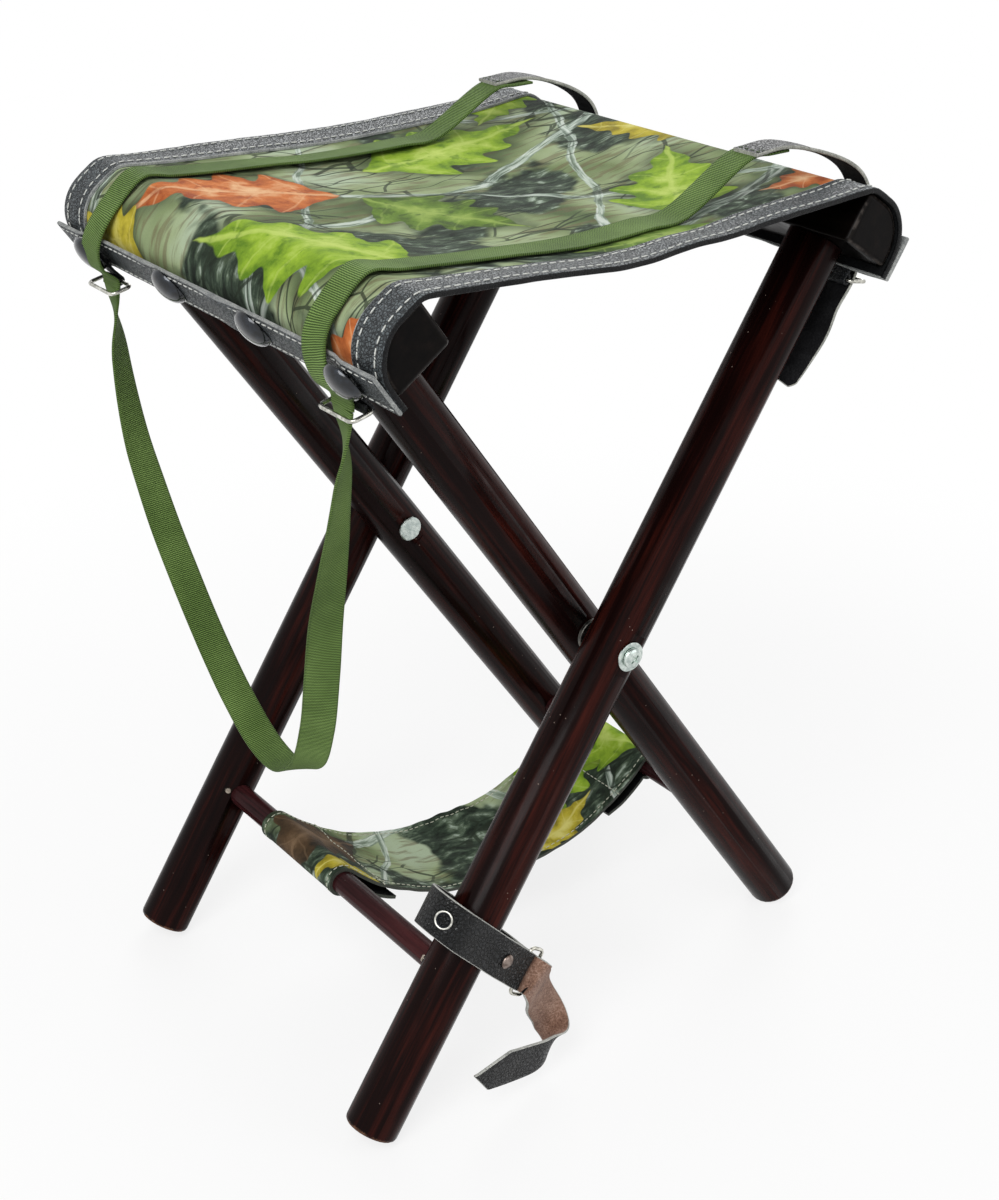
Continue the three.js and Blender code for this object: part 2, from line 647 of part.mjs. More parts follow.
/** A wire ring in its tab, hanging nearly level and away from the rail. */
function wireRing(side, end) {
  const pivot = framePoint(side, RING_OUT, RING_REACH, end * RING_Y);
  return facingOut(wireFrame(RING_LENGTH, RING_DEPTH).rotateY(RING_DROP).scale(side, 1, 1))
    .translate(pivot.x, pivot.y, pivot.z);
}

/** The middle of a ring's window, where the webbing or strap goes through. */
function windowPoint(side, y) {
  const pivot = framePoint(side, RING_OUT, RING_REACH, y);
  const reach = (RING_DEPTH - WIRE) / 2;
  return pivot.add(new THREE.Vector3(side * reach * Math.cos(RING_DROP), 0, -reach * Math.sin(RING_DROP)));
}

// Carrying webbing

const WEBBING_HEIGHT = 2 * FIT + CLOTH + WEBBING / 2;
const SEAM_HEIGHT = CORNER.z + WEBBING_HEIGHT + SEAM_RISE;
const RUN_LIFT_SHARES = [0, 0.06, 0.24, 0.54, 0.82, 1];

/** The seat run of the webbing: from its seam, down onto the seat, over the rail and down to its ring. */
function webbingRun(end) {
  const sag = sagAt(WEBBING_Y + WEBBING_WIDTH / 2);
  const seatHeight = (x) => CORNER.z + WEBBING_HEIGHT + 3 * FIT - sag * (1 - (x / CORNER.x) ** 2);
  const y = end * WEBBING_Y;
  const seamEnd = SEAM_X + SEAM_LENGTH;
  const rising = stepsBetween(seamEnd, SEAM_X, 2).map((x) => new THREE.Vector3(x, y, SEAM_HEIGHT));
  const lying = stepsBetween(RISE_START_X, -CORNER.x + LEG_RADIUS, LYING_STEPS)
    .map((x) => new THREE.Vector3(x, y, seatHeight(x)));
  const round = arc(0, 0, 1, Math.PI / 2, 0, RUN_LIFT_SHARES.length - 1).map(([c, s], i) => {
    const height = WEBBING_HEIGHT + FIT + RUN_STANDOFF * RUN_LIFT_SHARES[i];
    const out = RAIL_OUTER - RAIL_ROUND * (1 - c) + height * c;
    return framePoint(-1, out, RAIL_TOP - RAIL_ROUND * (1 - s) + height * s, y);
  });
  const corner = framePoint(-1, -RAIL_INNER, RAIL_TOP + WEBBING_HEIGHT + 5 * FIT, y);
  const ringEnd = windowPoint(-1, end * LOOP_Y).add(new THREE.Vector3(0, 0, WIRE));
  const route = [...rising, ...lying, corner, ...round.slice(1), ringEnd];
  const wide = new THREE.Vector3(0, 1, 0);
  return strap(route, () => wide, WEBBING_WIDTH, WEBBING, RUN_STEPS);
}

const LOOP_SHARES = [
  [-1, 0], [-0.985, -0.09], [-0.88, -0.27], [-0.79, -0.4], [-0.7, -0.53], [-0.62, -0.68], [-0.53, -0.83],
  [-0.4, -0.95], [-0.22, -1], [0.0, -0.985], [0.22, -0.91], [0.38, -0.83], [0.52, -0.745], [0.65, -0.655],
  [0.77, -0.565], [0.87, -0.47], [0.955, -0.375], [1.0, -0.27], [1.015, -0.17], [1.01, -0.08], [1, 0],
];
const LOOP_TURN_SHARES = [
  0, 0.6, 0.75, 0.95, 1.15, 1.32, 1.4, 1.4, 1.3, 1.15, 1.05, 1, 1, 0.95, 0.85, 0.7, 0.55, 0,
];

/** The hanging loop of the webbing from one ring to the other, its width turning as it falls. */
function webbingLoop() {
  const top = windowPoint(-1, 0);
  top.z -= WIRE / 2 + FIT;
  const route = LOOP_SHARES.map(([y, z]) => (
    new THREE.Vector3(top.x - z * LOOP_LEAN, y * LOOP_Y, top.z + z * LOOP_DROP)));
  const widthAt = (share) => {
    const place = share * (LOOP_TURN_SHARES.length - 1);
    const i = Math.min(Math.floor(place), LOOP_TURN_SHARES.length - 2);
    const turn = LOOP_TURN_SHARES[i] + (LOOP_TURN_SHARES[i + 1] - LOOP_TURN_SHARES[i]) * (place - i);
    return new THREE.Vector3(Math.sin(turn * Math.PI / 2), Math.cos(turn * Math.PI / 2), 0);
  };
  return strap(route, widthAt, WEBBING_WIDTH, WEBBING, LOOP_STEPS);
}

const ARCH_TURNS = [96, 68, 40, 14].map(THREE.MathUtils.degToRad);
const ARCH_LIFT_SHARES = [1.14, 1.21, 1.18, 1.15];
const ARCH_Y_SHARE = 0.3;
const WINDOW_Y_SHARE = 0.8;
const TAIL_SHARES = [[0.05, -0.22, 0.9], [0.035, -0.5, 1], [-0.02, -0.75, 1], [-0.09, -1, 1]];
const TWIST_START_SHARE = 0.78;

/** The webbing's leather end: from its seam over the rail and through its buckle to a loose tail. */
function carryStrap(end) {
  const seamZ = SEAM_HEIGHT + (WEBBING + LEATHER) / 2 + 2 * FIT;
  const y = (share) => end * (STRAP_TOP_Y + (STRAP_TAIL_Y - STRAP_TOP_Y) * share);
  const arch = ARCH_TURNS.map((angle, i) => {
    const reach = RAIL_ROUND + (STRAP_STANDOFF + STRIP) * ARCH_LIFT_SHARES[i];
    const out = RAIL_OUTER - RAIL_ROUND + reach * Math.cos(angle);
    return framePoint(1, out, RAIL_TOP - RAIL_ROUND + reach * Math.sin(angle), y(ARCH_Y_SHARE));
  });
  const tail = TAIL_SHARES.map(([out, up, across]) => (
    framePoint(1, RING_OUT + out * TAIL_LENGTH, RING_REACH + up * TAIL_LENGTH, y(across))));
  const seam = [SEAM_X, SEAM_X + SEAM_LENGTH].map((x) => new THREE.Vector3(x, y(0), seamZ));
  const route = [...seam, ...arch, windowPoint(1, y(WINDOW_Y_SHARE)), ...tail];
  const twist = (share) => {
    const turn = Math.max(0, share - TWIST_START_SHARE) / (1 - TWIST_START_SHARE) * end * TAIL_TWIST;
    return new THREE.Vector3(Math.sin(turn), Math.cos(turn), 0);
  };
  return strap(route, twist, STRAP_WIDTH, LEATHER, CARRY_STEPS);
}

// Sling

/** The cloth sling: looped over both rungs, its ends turned under and sewn back as flaps. */
function sling() {
  const rungCentre = framePoint(1, 0, -RUNG_REACH);
  const [x, z] = [-rungCentre.x, rungCentre.z];
  const radius = RUNG_DIAMETER / 2 + FIT + SLING / 2;
  const reach = x - radius * Math.sin(SLING_FALL);
  const top = z + radius * Math.cos(SLING_FALL);
  const bend = Math.tan(SLING_FALL) * reach / SLING_SAG;
  const bandAt = (share) => [share * reach, top - SLING_SAG * (1 - Math.abs(share) ** bend)];
  const bodies = [slab(ribbonOutline(stepsBetween(-1, 1, SLING_STEPS).map(bandAt), SLING), SLING_WIDTH)];
  const circle = (r) => arc(0, 0, r, 0, 2 * Math.PI, LEG_SIDES).slice(1)
    .map(([u, v]) => new THREE.Vector2(u, v));
  [-1, 1].forEach((side) => {
    const ring = new THREE.Shape(circle(radius + SLING / 2));
    ring.holes.push(new THREE.Path(circle(radius - SLING / 2)));
    bodies.push(new THREE.ExtrudeGeometry(ring, { depth: SLING_WIDTH, bevelEnabled: false })
      .rotateX(Math.PI / 2).translate(side * x, SLING_WIDTH / 2, z));
    const [endX, endZ] = bandAt(1 - FLAP_LENGTH / reach);
    const start = new THREE.Vector2(side * reach, z - radius * Math.cos(SLING_FALL));
    const knee = new THREE.Vector2(side * (endX + FLAP_LENGTH / 3), endZ - SLING);
    const tip = new THREE.Vector2(side * endX, endZ - SLING / 2);
    const flap = new THREE.QuadraticBezierCurve(start, knee, tip);
    const route = flap.getPoints(ROUND_STEPS).map((point) => point.toArray());
    bodies.push(slab(ribbonOutline(route, SLING), SLING_WIDTH));
  });
  const body = join(bodies);
  const at = body.attributes.position;
  for (let i = 0; i < at.count; i += 1) {
    at.setY(i, at.getY(i) + SLING_Y + SLING_SKEW_SHARE * at.getX(i));
  }
  return body;
}

// Closing strap, drawn in the outer frame's own plane: x out, y away from the near leg towards the viewer

/** The height of the closing strap's middle along the leg, which falls away to the buckle. */
function closingReach(x) {
  return -CLOSING_REACH - CLOSING_TILT_SHARE * x;
}

const CLOSING_TAIL_SHARES = [
  [0, 0, 0], [0.05, 0.07, -0.01], [0.2, 0, -0.13], [0.39, -0.02, -0.235], [0.445, 0.04, -0.33],
  [0.375, 0.1, -0.41], [0.18, 0.13, -0.49], [0.01, 0.155, -0.54], [-0.17, 0.165, -0.6],
];
const FOLD_FRONT_SHARES = [[0.5, 0.46], [1, 0.776]];
const FOLD_BACK_SHARES = [[1, 0.6725], [0.5, 0.1]];
const FOLD_TURN_FROM = -THREE.MathUtils.degToRad(108);
const FOLD_TURN_TO = THREE.MathUtils.degToRad(99);
const RETURN_SHARES = [[0, -1], [0.37, -1.02], [0.63, -0.78], [1, -0.3]];

/** The closing strap: folded round its buckle, round the leg, through the buckle to a curled tail. */
function closingStrap() {
  const r = LEG_RADIUS + CLOSING_STANDOFF;
  const eye = WIRE / 2 + FIT + LEATHER / 2;
  const end = CLOSING_EYE_X + (CLOSING_BUCKLE_DEPTH - WIRE) / 2;
  const folded = ([back, lift]) => [CLOSING_EYE_X - back * CLOSING_FOLD, CLOSING_EYE_Y * (1 + lift)];
  const route = [
    ...FOLD_BACK_SHARES.map(folded),
    ...arc(CLOSING_EYE_X, CLOSING_EYE_Y, eye, FOLD_TURN_FROM, FOLD_TURN_TO, ROUND_STEPS),
    ...FOLD_FRONT_SHARES.map(folded), [0, r],
    ...arc(-CLOSING_SLACK, 0, r, Math.PI / 2, 3 * Math.PI / 2, ROUND_STEPS + EDGE_STEPS),
    ...RETURN_SHARES.map(([out, lift]) => [out * CLOSING_EYE_X, lift * r]), [end, CLOSING_EYE_Y],
  ];
  const shape = new THREE.Shape(ribbonOutline(route, LEATHER).map(([x, y]) => new THREE.Vector2(x, y)));
  const band = new THREE.ExtrudeGeometry(shape, { depth: CLOSING_WIDTH, bevelEnabled: false })
    .translate(0, 0, -CLOSING_WIDTH / 2);
  const at = band.attributes.position;
  for (let i = 0; i < at.count; i += 1) {
    at.setZ(i, at.getZ(i) + closingReach(at.getX(i)));
  }
  const start = new THREE.Vector3(end, CLOSING_EYE_Y - LEATHER / 2, closingReach(end));
  const tail = CLOSING_TAIL_SHARES.map(([x, y, z]) => start.clone().add(
    new THREE.Vector3(x, y, z).multiplyScalar(CLOSING_TAIL_LENGTH)));
  const wide = new THREE.Vector3(0, 0, 1);
  const loose = strap(tail, () => wide, CLOSING_WIDTH, LEATHER, TAIL_STEPS);
  const rivetBore = bar(RIVET_SHANK_DIAMETER / 2 + FIT, -RIVET_DIAMETER, RIVET_DIAMETER, HOLE_SIDES);
  const eyeletBore = bar(EYELET_HOLE / 2 + WIRE / 2, LEG_RADIUS, 2 * LEG_DIAMETER, HOLE_SIDES);
  return onNearLeg(cut(join([band, loose]), [rivetPlace(rivetBore), eyeletPlace(eyeletBore)]));
}

/** Moves a piece that points along Z to the eyelet's place on the strap's round end. */
function eyeletPlace(geometry) {
  const x = -CLOSING_SLACK - LEG_RADIUS * Math.cos(EYELET_TURN);
  return geometry.rotateY(-Math.PI / 2).rotateZ(-EYELET_TURN).translate(-CLOSING_SLACK, 0, closingReach(x));
}

/** Mirrors a piece drawn about the leg to the viewer's side and puts it on the near outer leg. */
function onNearLeg(geometry) {
  return facingOut(geometry.scale(1, -1, 1)).translate(0, -OUTER_LEG_Y, 0);
}

/** The wire buckle of the closing strap. */
function closingBuckle() {
  const middle = closingReach(CLOSING_EYE_X + CLOSING_BUCKLE_DEPTH / 5);
  return onNearLeg(wireFrame(CLOSING_BUCKLE_LENGTH, CLOSING_BUCKLE_DEPTH).rotateX(Math.PI / 2)
    .translate(CLOSING_EYE_X, CLOSING_EYE_Y, middle));
}

/** Moves a piece that points along Z to the rivet's place, its zero in the strap's front layer. */
function rivetPlace(geometry) {
  const middle = LEG_RADIUS + CLOSING_STANDOFF - LEATHER * RIVET_SINK_SHARE;
  return geometry.rotateX(-Math.PI / 2).rotateZ(-RIVET_TURN)
    .translate(RIVET_X, middle, closingReach(RIVET_X));
}

/** The domed rivet through both layers of the closing strap's folded end. */
function closingRivet() {
  const [seat, back] = [LEATHER / 2 + FIT, -2 * LEATHER - FIT];
  const profile = [
    [0, back - LEATHER / 2], [RIVET_BACK_DIAMETER / 2, back - LEATHER / 2], [RIVET_BACK_DIAMETER / 2, back],
    [RIVET_SHANK_DIAMETER / 2, back], [RIVET_SHANK_DIAMETER / 2, seat],
    ...dome(RIVET_DIAMETER / 2, seat, RIVET_DIAMETER / 4, EDGE_STEPS),
  ];
  return onNearLeg(rivetPlace(solidGeometry(turned(profile))));
}

/** The eyelet pressed into the strap where it turns round the leg. */
function closingEyelet() {
  const seat = LEG_RADIUS + CLOSING_STANDOFF + LEATHER / 2 + FIT;
  const [hole, r] = [EYELET_HOLE / 2, EYELET_DIAMETER / 2];
  const [back, neck, top] = [seat - LEATHER - FIT, hole + WIRE / 4, seat + WIRE / 2];
  const ring = [
    [hole, back], [neck, back], [neck, seat], [r, seat], [r - WIRE / 4, top], [hole, top], [hole, back],
  ];
  return onNearLeg(eyeletPlace(solidGeometry(turned(ring))));
}

const group = new THREE.Group();
group.name = 'hunting_stool';
const sides = [['near', -1], ['far', 1]];

[[OUTER, 'outer'], [INNER, 'inner']].forEach(([frame, label]) => {
  const meshes = sides.flatMap(([name, end]) => [
    piece(`${label}_leg_${name}`, leg(frame, end), darkWood),
    piece(`${label}_rung_pin_${name}`, rungPin(frame, end), zinc),
    piece(`${label}_tab_${name}`, ringTab(frame, end), blackLeather),
  ]);
  meshes.push(piece(`${label}_rail`, rail(frame), blackWood));
  meshes.push(piece(`${label}_rung`, rung(frame), darkWood));
  meshes.push(piece(`${label}_seat_strip`, seatStrip(frame), greyLeather));
  NAIL_PLACES.forEach((y, i) => {
    meshes.push(piece(`${label}_seat_nail_${i + 1}`, seatNail(frame, y), blackNail));
  });
  if (frame === OUTER) {
    meshes.push(piece('closing_strap', closingStrap(), blackLeather));
    meshes.push(piece('closing_buckle', closingBuckle(), zinc));
    meshes.push(piece('closing_rivet', closingRivet(), zinc));
    meshes.push(piece('closing_eyelet', closingEyelet(), zinc));
  }
  group.add(leaningGroup(frame, meshes));
});

sides.forEach(([name, end]) => {
  group.add(piece(`pivot_screw_${name}`, pivotScrew(end), zinc));
  group.add(piece(`pivot_nut_${name}`, sleeveNut(end), zinc));
  group.add(piece(`pivot_washer_${name}`, pivotWasher(end), zinc));
  group.add(piece(`pivot_spacer_${name}`, pivotSpacer(end), zinc));
  group.add(piece(`seat_binding_${name}`, binding(end), greyLeather));
  group.add(piece(`carry_strap_${name}`, carryStrap(end), blackLeather));
  group.add(piece(`carry_buckle_${name}`, wireRing(1, end), zinc));
  group.add(piece(`loop_ring_${name}`, wireRing(-1, end), zinc));
  group.add(piece(`webbing_run_${name}`, webbingRun(end), greenWebbing));
});
group.add(piece('seat_cloth', seatCloth(), camoCloth));
group.add(piece('webbing_loop', webbingLoop(), greenWebbing));
group.add(piece('lower_sling', sling(), camoCloth));

export default group;
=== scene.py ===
"""Dresses a folding hunting stool: lacquered legs, a printed cloth seat, webbing and leather straps.

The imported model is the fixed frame. The sub-assemblies' sizes are millimetres, apart from bend and the
studio's, which are metres. Every mesh is made in metres.
"""

import json
import logging
import math
from collections.abc import Callable, Sequence
from dataclasses import dataclass, field
from enum import Enum
from functools import reduce

import bmesh
import bpy
import numpy as np
from mathutils import Matrix, Vector

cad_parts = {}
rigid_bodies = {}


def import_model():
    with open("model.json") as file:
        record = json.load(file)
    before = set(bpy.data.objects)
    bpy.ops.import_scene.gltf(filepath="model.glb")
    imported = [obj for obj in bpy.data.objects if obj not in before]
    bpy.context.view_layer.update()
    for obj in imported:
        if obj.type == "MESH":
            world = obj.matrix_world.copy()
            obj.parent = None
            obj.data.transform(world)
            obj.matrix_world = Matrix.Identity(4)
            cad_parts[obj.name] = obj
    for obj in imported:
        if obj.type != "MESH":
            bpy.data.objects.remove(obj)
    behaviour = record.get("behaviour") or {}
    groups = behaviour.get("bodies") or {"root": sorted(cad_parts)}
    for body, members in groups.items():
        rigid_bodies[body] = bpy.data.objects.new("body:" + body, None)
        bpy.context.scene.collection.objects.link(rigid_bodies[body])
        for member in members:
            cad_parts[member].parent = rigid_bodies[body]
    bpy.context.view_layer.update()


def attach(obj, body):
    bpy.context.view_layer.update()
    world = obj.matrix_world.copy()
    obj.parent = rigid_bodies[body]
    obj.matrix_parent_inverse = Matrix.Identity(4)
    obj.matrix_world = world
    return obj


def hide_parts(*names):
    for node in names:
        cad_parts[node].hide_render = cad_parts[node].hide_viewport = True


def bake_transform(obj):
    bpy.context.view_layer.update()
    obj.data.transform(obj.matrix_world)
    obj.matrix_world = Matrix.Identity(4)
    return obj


log = logging.getLogger("hunting_stool")

# Metres in a millimetre, and the sizes of the frame that several classes share, in millimetres
MM = 0.001
LEG_ANGLE = math.radians(34.4)
SIN, COS = math.sin(LEG_ANGLE), math.cos(LEG_ANGLE)
FIT = 0.3
LEG_RADIUS = 17.5
FOOT_REACH = 338.0
FOOT_EDGE = 3.0
PIVOT_HEIGHT = FOOT_REACH * COS + (LEG_RADIUS - FOOT_EDGE) * SIN + FOOT_EDGE * (1 - COS)
CORNER_X, CORNER_Z = 158.44, 549.98

Piece = bpy.types.Object
Material = bpy.types.Material
Array = np.ndarray
Section = Sequence[tuple[float, float]]
Socket = bpy.types.NodeSocket
Value = Socket | float


class Side(Enum):
    """The two crossed frames, by the side on which their rail lies."""

    OUTER = 1
    INNER = -1

    @property
    def label(self) -> str:
        """The frame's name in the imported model."""
        return "outer" if self is Side.OUTER else "inner"

    @property
    def body(self) -> str:
        """The moving body that the frame belongs to."""
        return f"{self.label}_frame"


class End(Enum):
    """The two ends of the stool along its pivot."""

    NEAR = -1
    FAR = 1

    @property
    def label(self) -> str:
        """The end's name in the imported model."""
        return "near" if self is End.NEAR else "far"


def frame_point(side: int, out: float, up: float, y: float = 0.0) -> Array:
    """Place a point of a leaning frame in the standing stool.

    Args:
        side: 1 for the outer frame, -1 for the inner one.
        out: distance square to the legs, away from the stool.
        up: distance along the legs from the pivot.
        y: distance along the pivot.

    Returns:
        The point in millimetres.
    """
    return np.array([side * (up * SIN + out * COS), y, PIVOT_HEIGHT + up * COS - out * SIN])


def unit(rows: Array) -> Array:
    """Scale each row to length one."""
    rows = np.asarray(rows, float)
    return rows / np.maximum(np.linalg.norm(rows, axis=-1, keepdims=True), 1e-12)


def arc(x: float, y: float, radius: float, start: float, end: float, steps: int) -> list[tuple[float, float]]:
    """List points of an arc, both ends included, with its angles in radians."""
    turns = [start + (end - start) * i / steps for i in range(steps + 1)]
    return [(x + radius * math.cos(t), y + radius * math.sin(t)) for t in turns]


def smooth_route(points: Sequence[Array], spacing: float) -> Array:
    """Run a centripetal curve through points and step along it evenly.

    Args:
        points: the places that the curve passes through.
        spacing: the distance between steps, in millimetres.

    Returns:
        The evenly spaced points of the curve.
    """
    p = np.array(points, float)
    p = np.vstack([2 * p[0] - p[1], p, 2 * p[-1] - p[-2]])
    dense = []
    for i in range(1, len(p) - 2):
        p0, p1, p2, p3 = p[i - 1:i + 3]
        pairs = ((p0, p1), (p1, p2), (p2, p3))
        d0, d1, d2 = (max(np.linalg.norm(b - a) ** 0.5, 1e-4) for a, b in pairs)
        t1 = d1 * ((p1 - p0) / d0 - (p2 - p0) / (d0 + d1) + (p2 - p1) / d1)
        t2 = d1 * ((p2 - p1) / d1 - (p3 - p1) / (d1 + d2) + (p3 - p2) / d2)
        s = np.linspace(0, 1, 32, endpoint=False)[:, None]
        square, cube = 3 * (p2 - p1) - 2 * t1 - t2, 2 * (p1 - p2) + t1 + t2
        dense.append(p1 + t1 * s + square * s ** 2 + cube * s ** 3)
    dense.append(p[-2:-1])
    return evenly(np.vstack(dense), spacing)


def lengths_along(points: Array) -> Array:
    """The distance of each point from the first one, along the line through them."""
    return np.concatenate([[0.0], np.cumsum(np.linalg.norm(np.diff(points, axis=0), axis=1))])


def evenly(points: Array, spacing: float) -> Array:
    """Step evenly along a line of points.

    Args:
        points: the line's points.
        spacing: about the distance between steps, in millimetres.

    Returns:
        The new points, with the line's own ends.
    """
    run = lengths_along(points)
    at = np.linspace(0, run[-1], max(2, int(round(run[-1] / spacing)) + 1))
    return np.stack([np.interp(at, run, points[:, k]) for k in range(points.shape[1])], axis=1)


def tangents(points: Array) -> Array:
    """The unit direction of a line at each of its points."""
    return unit(np.gradient(points, axis=0))


def waves(x: Array, y: Array | float, seed: int, scale: float, count: int = 6) -> Array:
    """Sum a few seeded sine waves into a smooth, uneven height of about one.

    Args:
        x: the first coordinates, in millimetres.
        y: the second coordinates, in millimetres.
        seed: picks the waves.
        scale: the usual wave length, in millimetres.
        count: how many waves are summed.

    Returns:
        A height for each point.
    """
    rng = np.random.default_rng(seed)
    total = np.zeros(np.broadcast(x, y).shape)
    for _ in range(count):
        turn, phase = rng.uniform(0, 2 * math.pi, 2)
        k = 2 * math.pi / (scale * rng.uniform(0.6, 1.6))
        total += np.sin(k * (x * math.cos(turn) + y * math.sin(turn)) + phase)
    return total / math.sqrt(count)


def flat_plan(along: Array, across: Array) -> Array:
    """Pair each place along a piece with each place across it."""
    return np.stack(np.broadcast_arrays(along[:, None], across[None, :]), axis=-1)


def turned_width(turn: Array) -> Array:
    """Directions that start on Y and turn towards X by angles in radians."""
    return np.stack([np.sin(turn), np.cos(turn), turn * 0], axis=1)


def dome(radius: float, foot: float, rise: float, steps: int) -> list[tuple[float, float]]:
    """List points up the side of a dome, from its rim to just short of its top."""
    turns = [k * math.pi / steps for k in range(steps // 2)]
    return [(radius * math.cos(t), foot + rise * math.sin(t)) for t in turns]


def hump(x: Array, middle: float, reach: float) -> Array:
    """A smooth hill of height one with a middle and a reach."""
    return np.exp(-(((np.asarray(x) - middle) / reach) ** 2))


def lofted(name: str, finishes: Sequence[Material], grid: Array, plan: Array, side_finish: Sequence[int],
           cap_finish: int = 0, closed_route: bool = False, sharp: float = 50.0) -> Piece:
    """Join closed sections that follow one another to a closed piece.

    Args:
        name: the piece's name.
        finishes: the materials, in the order that the faces number them.
        grid: points as (stations, section points, 3), in millimetres.
        plan: the flat place of each point as (stations, section points, 2), in millimetres.
        side_finish: the finish number of the face after each section point.
        cap_finish: the finish number of the two ends.
        closed_route: whether the last station joins the first.
        sharp: the angle in degrees from which an edge is not smoothed.

    Returns:
        The new piece at the origin.
    """
    stations, sides = grid.shape[:2]
    faces, face_finish = [], []
    for i in range(stations if closed_route else stations - 1):
        here, after = i * sides, (i + 1) % stations * sides
        for j in range(sides):
            k = (j + 1) % sides
            faces.append((here + j, here + k, after + k, after + j))
            face_finish.append(side_finish[j])
    if not closed_route:
        faces += [tuple(range(sides - 1, -1, -1)), tuple(range((stations - 1) * sides, stations * sides))]
        face_finish += [cap_finish, cap_finish]
    mesh = bpy.data.meshes.new(name)
    mesh.from_pydata((grid.reshape(-1, 3) * MM).tolist(), [], faces)
    for finish in finishes:
        mesh.materials.append(finish)
    mesh.polygons.foreach_set("material_index", face_finish)
    layer = mesh.uv_layers.new(name="cloth_plan")
    corner = np.zeros(len(mesh.loops), np.int32)
    mesh.loops.foreach_get("vertex_index", corner)
    layer.data.foreach_set("uv", (plan.reshape(-1, 2)[corner] * MM).astype(np.float32).ravel())
    return dress_mesh(name, mesh, sharp)


def in_scene(name: str, data: bpy.types.ID) -> Piece:
    """Make an object of a mesh, a lamp or a camera, and link it to the scene.

    Args:
        name: the object's name.
        data: the mesh, lamp or camera.

    Returns:
        The new object.
    """
    made = bpy.data.objects.new(name, data)
    bpy.context.scene.collection.objects.link(made)
    return made


def mesh_of(name: str, work: bmesh.types.BMesh) -> bpy.types.Mesh:
    """Write worked geometry to a new mesh and free it.

    Args:
        name: the mesh's name.
        work: the worked geometry.

    Returns:
        The new mesh.
    """
    mesh = bpy.data.meshes.new(name)
    work.to_mesh(mesh)
    work.free()
    return mesh


def smooth(mesh: bpy.types.Mesh, sharp: float) -> None:
    """Smooth a mesh, apart from edges of at least an angle in degrees."""
    mesh.shade_smooth()
    mesh.set_sharp_from_angle(angle=math.radians(sharp))


def dress_mesh(name: str, mesh: bpy.types.Mesh, sharp: float) -> Piece:
    """Turn a mesh's faces outwards, smooth it and put it in the scene.

    Args:
        name: the object's name.
        mesh: the mesh, in metres.
        sharp: the angle in degrees from which an edge is not smoothed.

    Returns:
        The new object.
    """
    work = bmesh.new()
    work.from_mesh(mesh)
    bmesh.ops.recalc_face_normals(work, faces=work.faces)
    if work.calc_volume(signed=True) < 0:
        bmesh.ops.reverse_faces(work, faces=work.faces)
    work.to_mesh(mesh)
    work.free()
    smooth(mesh, sharp)
    return in_scene(name, mesh)


def turned(name: str, profile: Section, finish: Material, place: Matrix, sides: int = 48,
           sharp: float = 35.0) -> Piece:
    """Turn a profile about an axis, as on a lathe.

    Args:
        name: the piece's name.
        profile: (radius, height) points in millimetres, whose ends lie on the axis or are equal.
        finish: the piece's material.
        place: carries the upright piece, in metres, to its place.
        sides: how many sides the round has.
        sharp: the angle in degrees from which an edge is not smoothed.

    Returns:
        The new object.
    """
    work = bmesh.new()
    ring_turns = [2 * math.pi * j / sides for j in range(sides)]
    rings = []
    for r, z in profile:
        if r < 1e-9:
            rings.append([work.verts.new(place @ Vector((0, 0, z * MM)))])
        else:
            spots = [Vector((r * MM * math.cos(t), r * MM * math.sin(t), z * MM)) for t in ring_turns]
            rings.append([work.verts.new(place @ spot) for spot in spots])
    for a, b in zip(rings, rings[1:]):
        for j in range(sides):
            k = (j + 1) % sides
            corners = [a[j % len(a)], a[k % len(a)], b[k % len(b)], b[j % len(b)]]
            seen = list(dict.fromkeys(corners))
            if len(seen) > 2:
                work.faces.new(seen)
    bmesh.ops.remove_doubles(work, verts=work.verts, dist=1e-7)
    mesh = mesh_of(name, work)
    mesh.materials.append(finish)
    return dress_mesh(name, mesh, sharp)


def carve(piece: Piece, tools: Sequence[Piece], sharp: float = 30.0) -> None:
    """Cut closed tools out of a piece and delete the tools.

    Args:
        piece: the piece to cut.
        tools: the closed objects that are taken away from it.
        sharp: the angle in degrees from which an edge is not smoothed.
    """
    for tool in tools:
        cutter = piece.modifiers.new("carve", "BOOLEAN")
        cutter.object = tool
        cutter.solver = "EXACT"
    settle(piece)
    smooth(piece.data, sharp)
    for tool in tools:
        bpy.data.objects.remove(tool)


def settle(piece: Piece) -> None:
    """Replace a piece's mesh by what its modifiers make of it, and take them off.

    Args:
        piece: the piece with its modifiers.
    """
    graph = bpy.context.evaluated_depsgraph_get()
    mesh = bpy.data.meshes.new_from_object(piece.evaluated_get(graph), depsgraph=graph)
    piece.modifiers.clear()
    piece.data = mesh


def block(size: tuple[float, float, float], place: Matrix) -> Piece:
    """Make a square tool for cutting.

    Args:
        size: its three sizes, in millimetres.
        place: carries it, in metres, to its place.

    Returns:
        The tool.
    """
    work = bmesh.new()
    bmesh.ops.create_cube(work, size=1, matrix=place @ Matrix.Diagonal((*(s * MM for s in size), 1)))
    return in_scene("tool", mesh_of("tool", work))


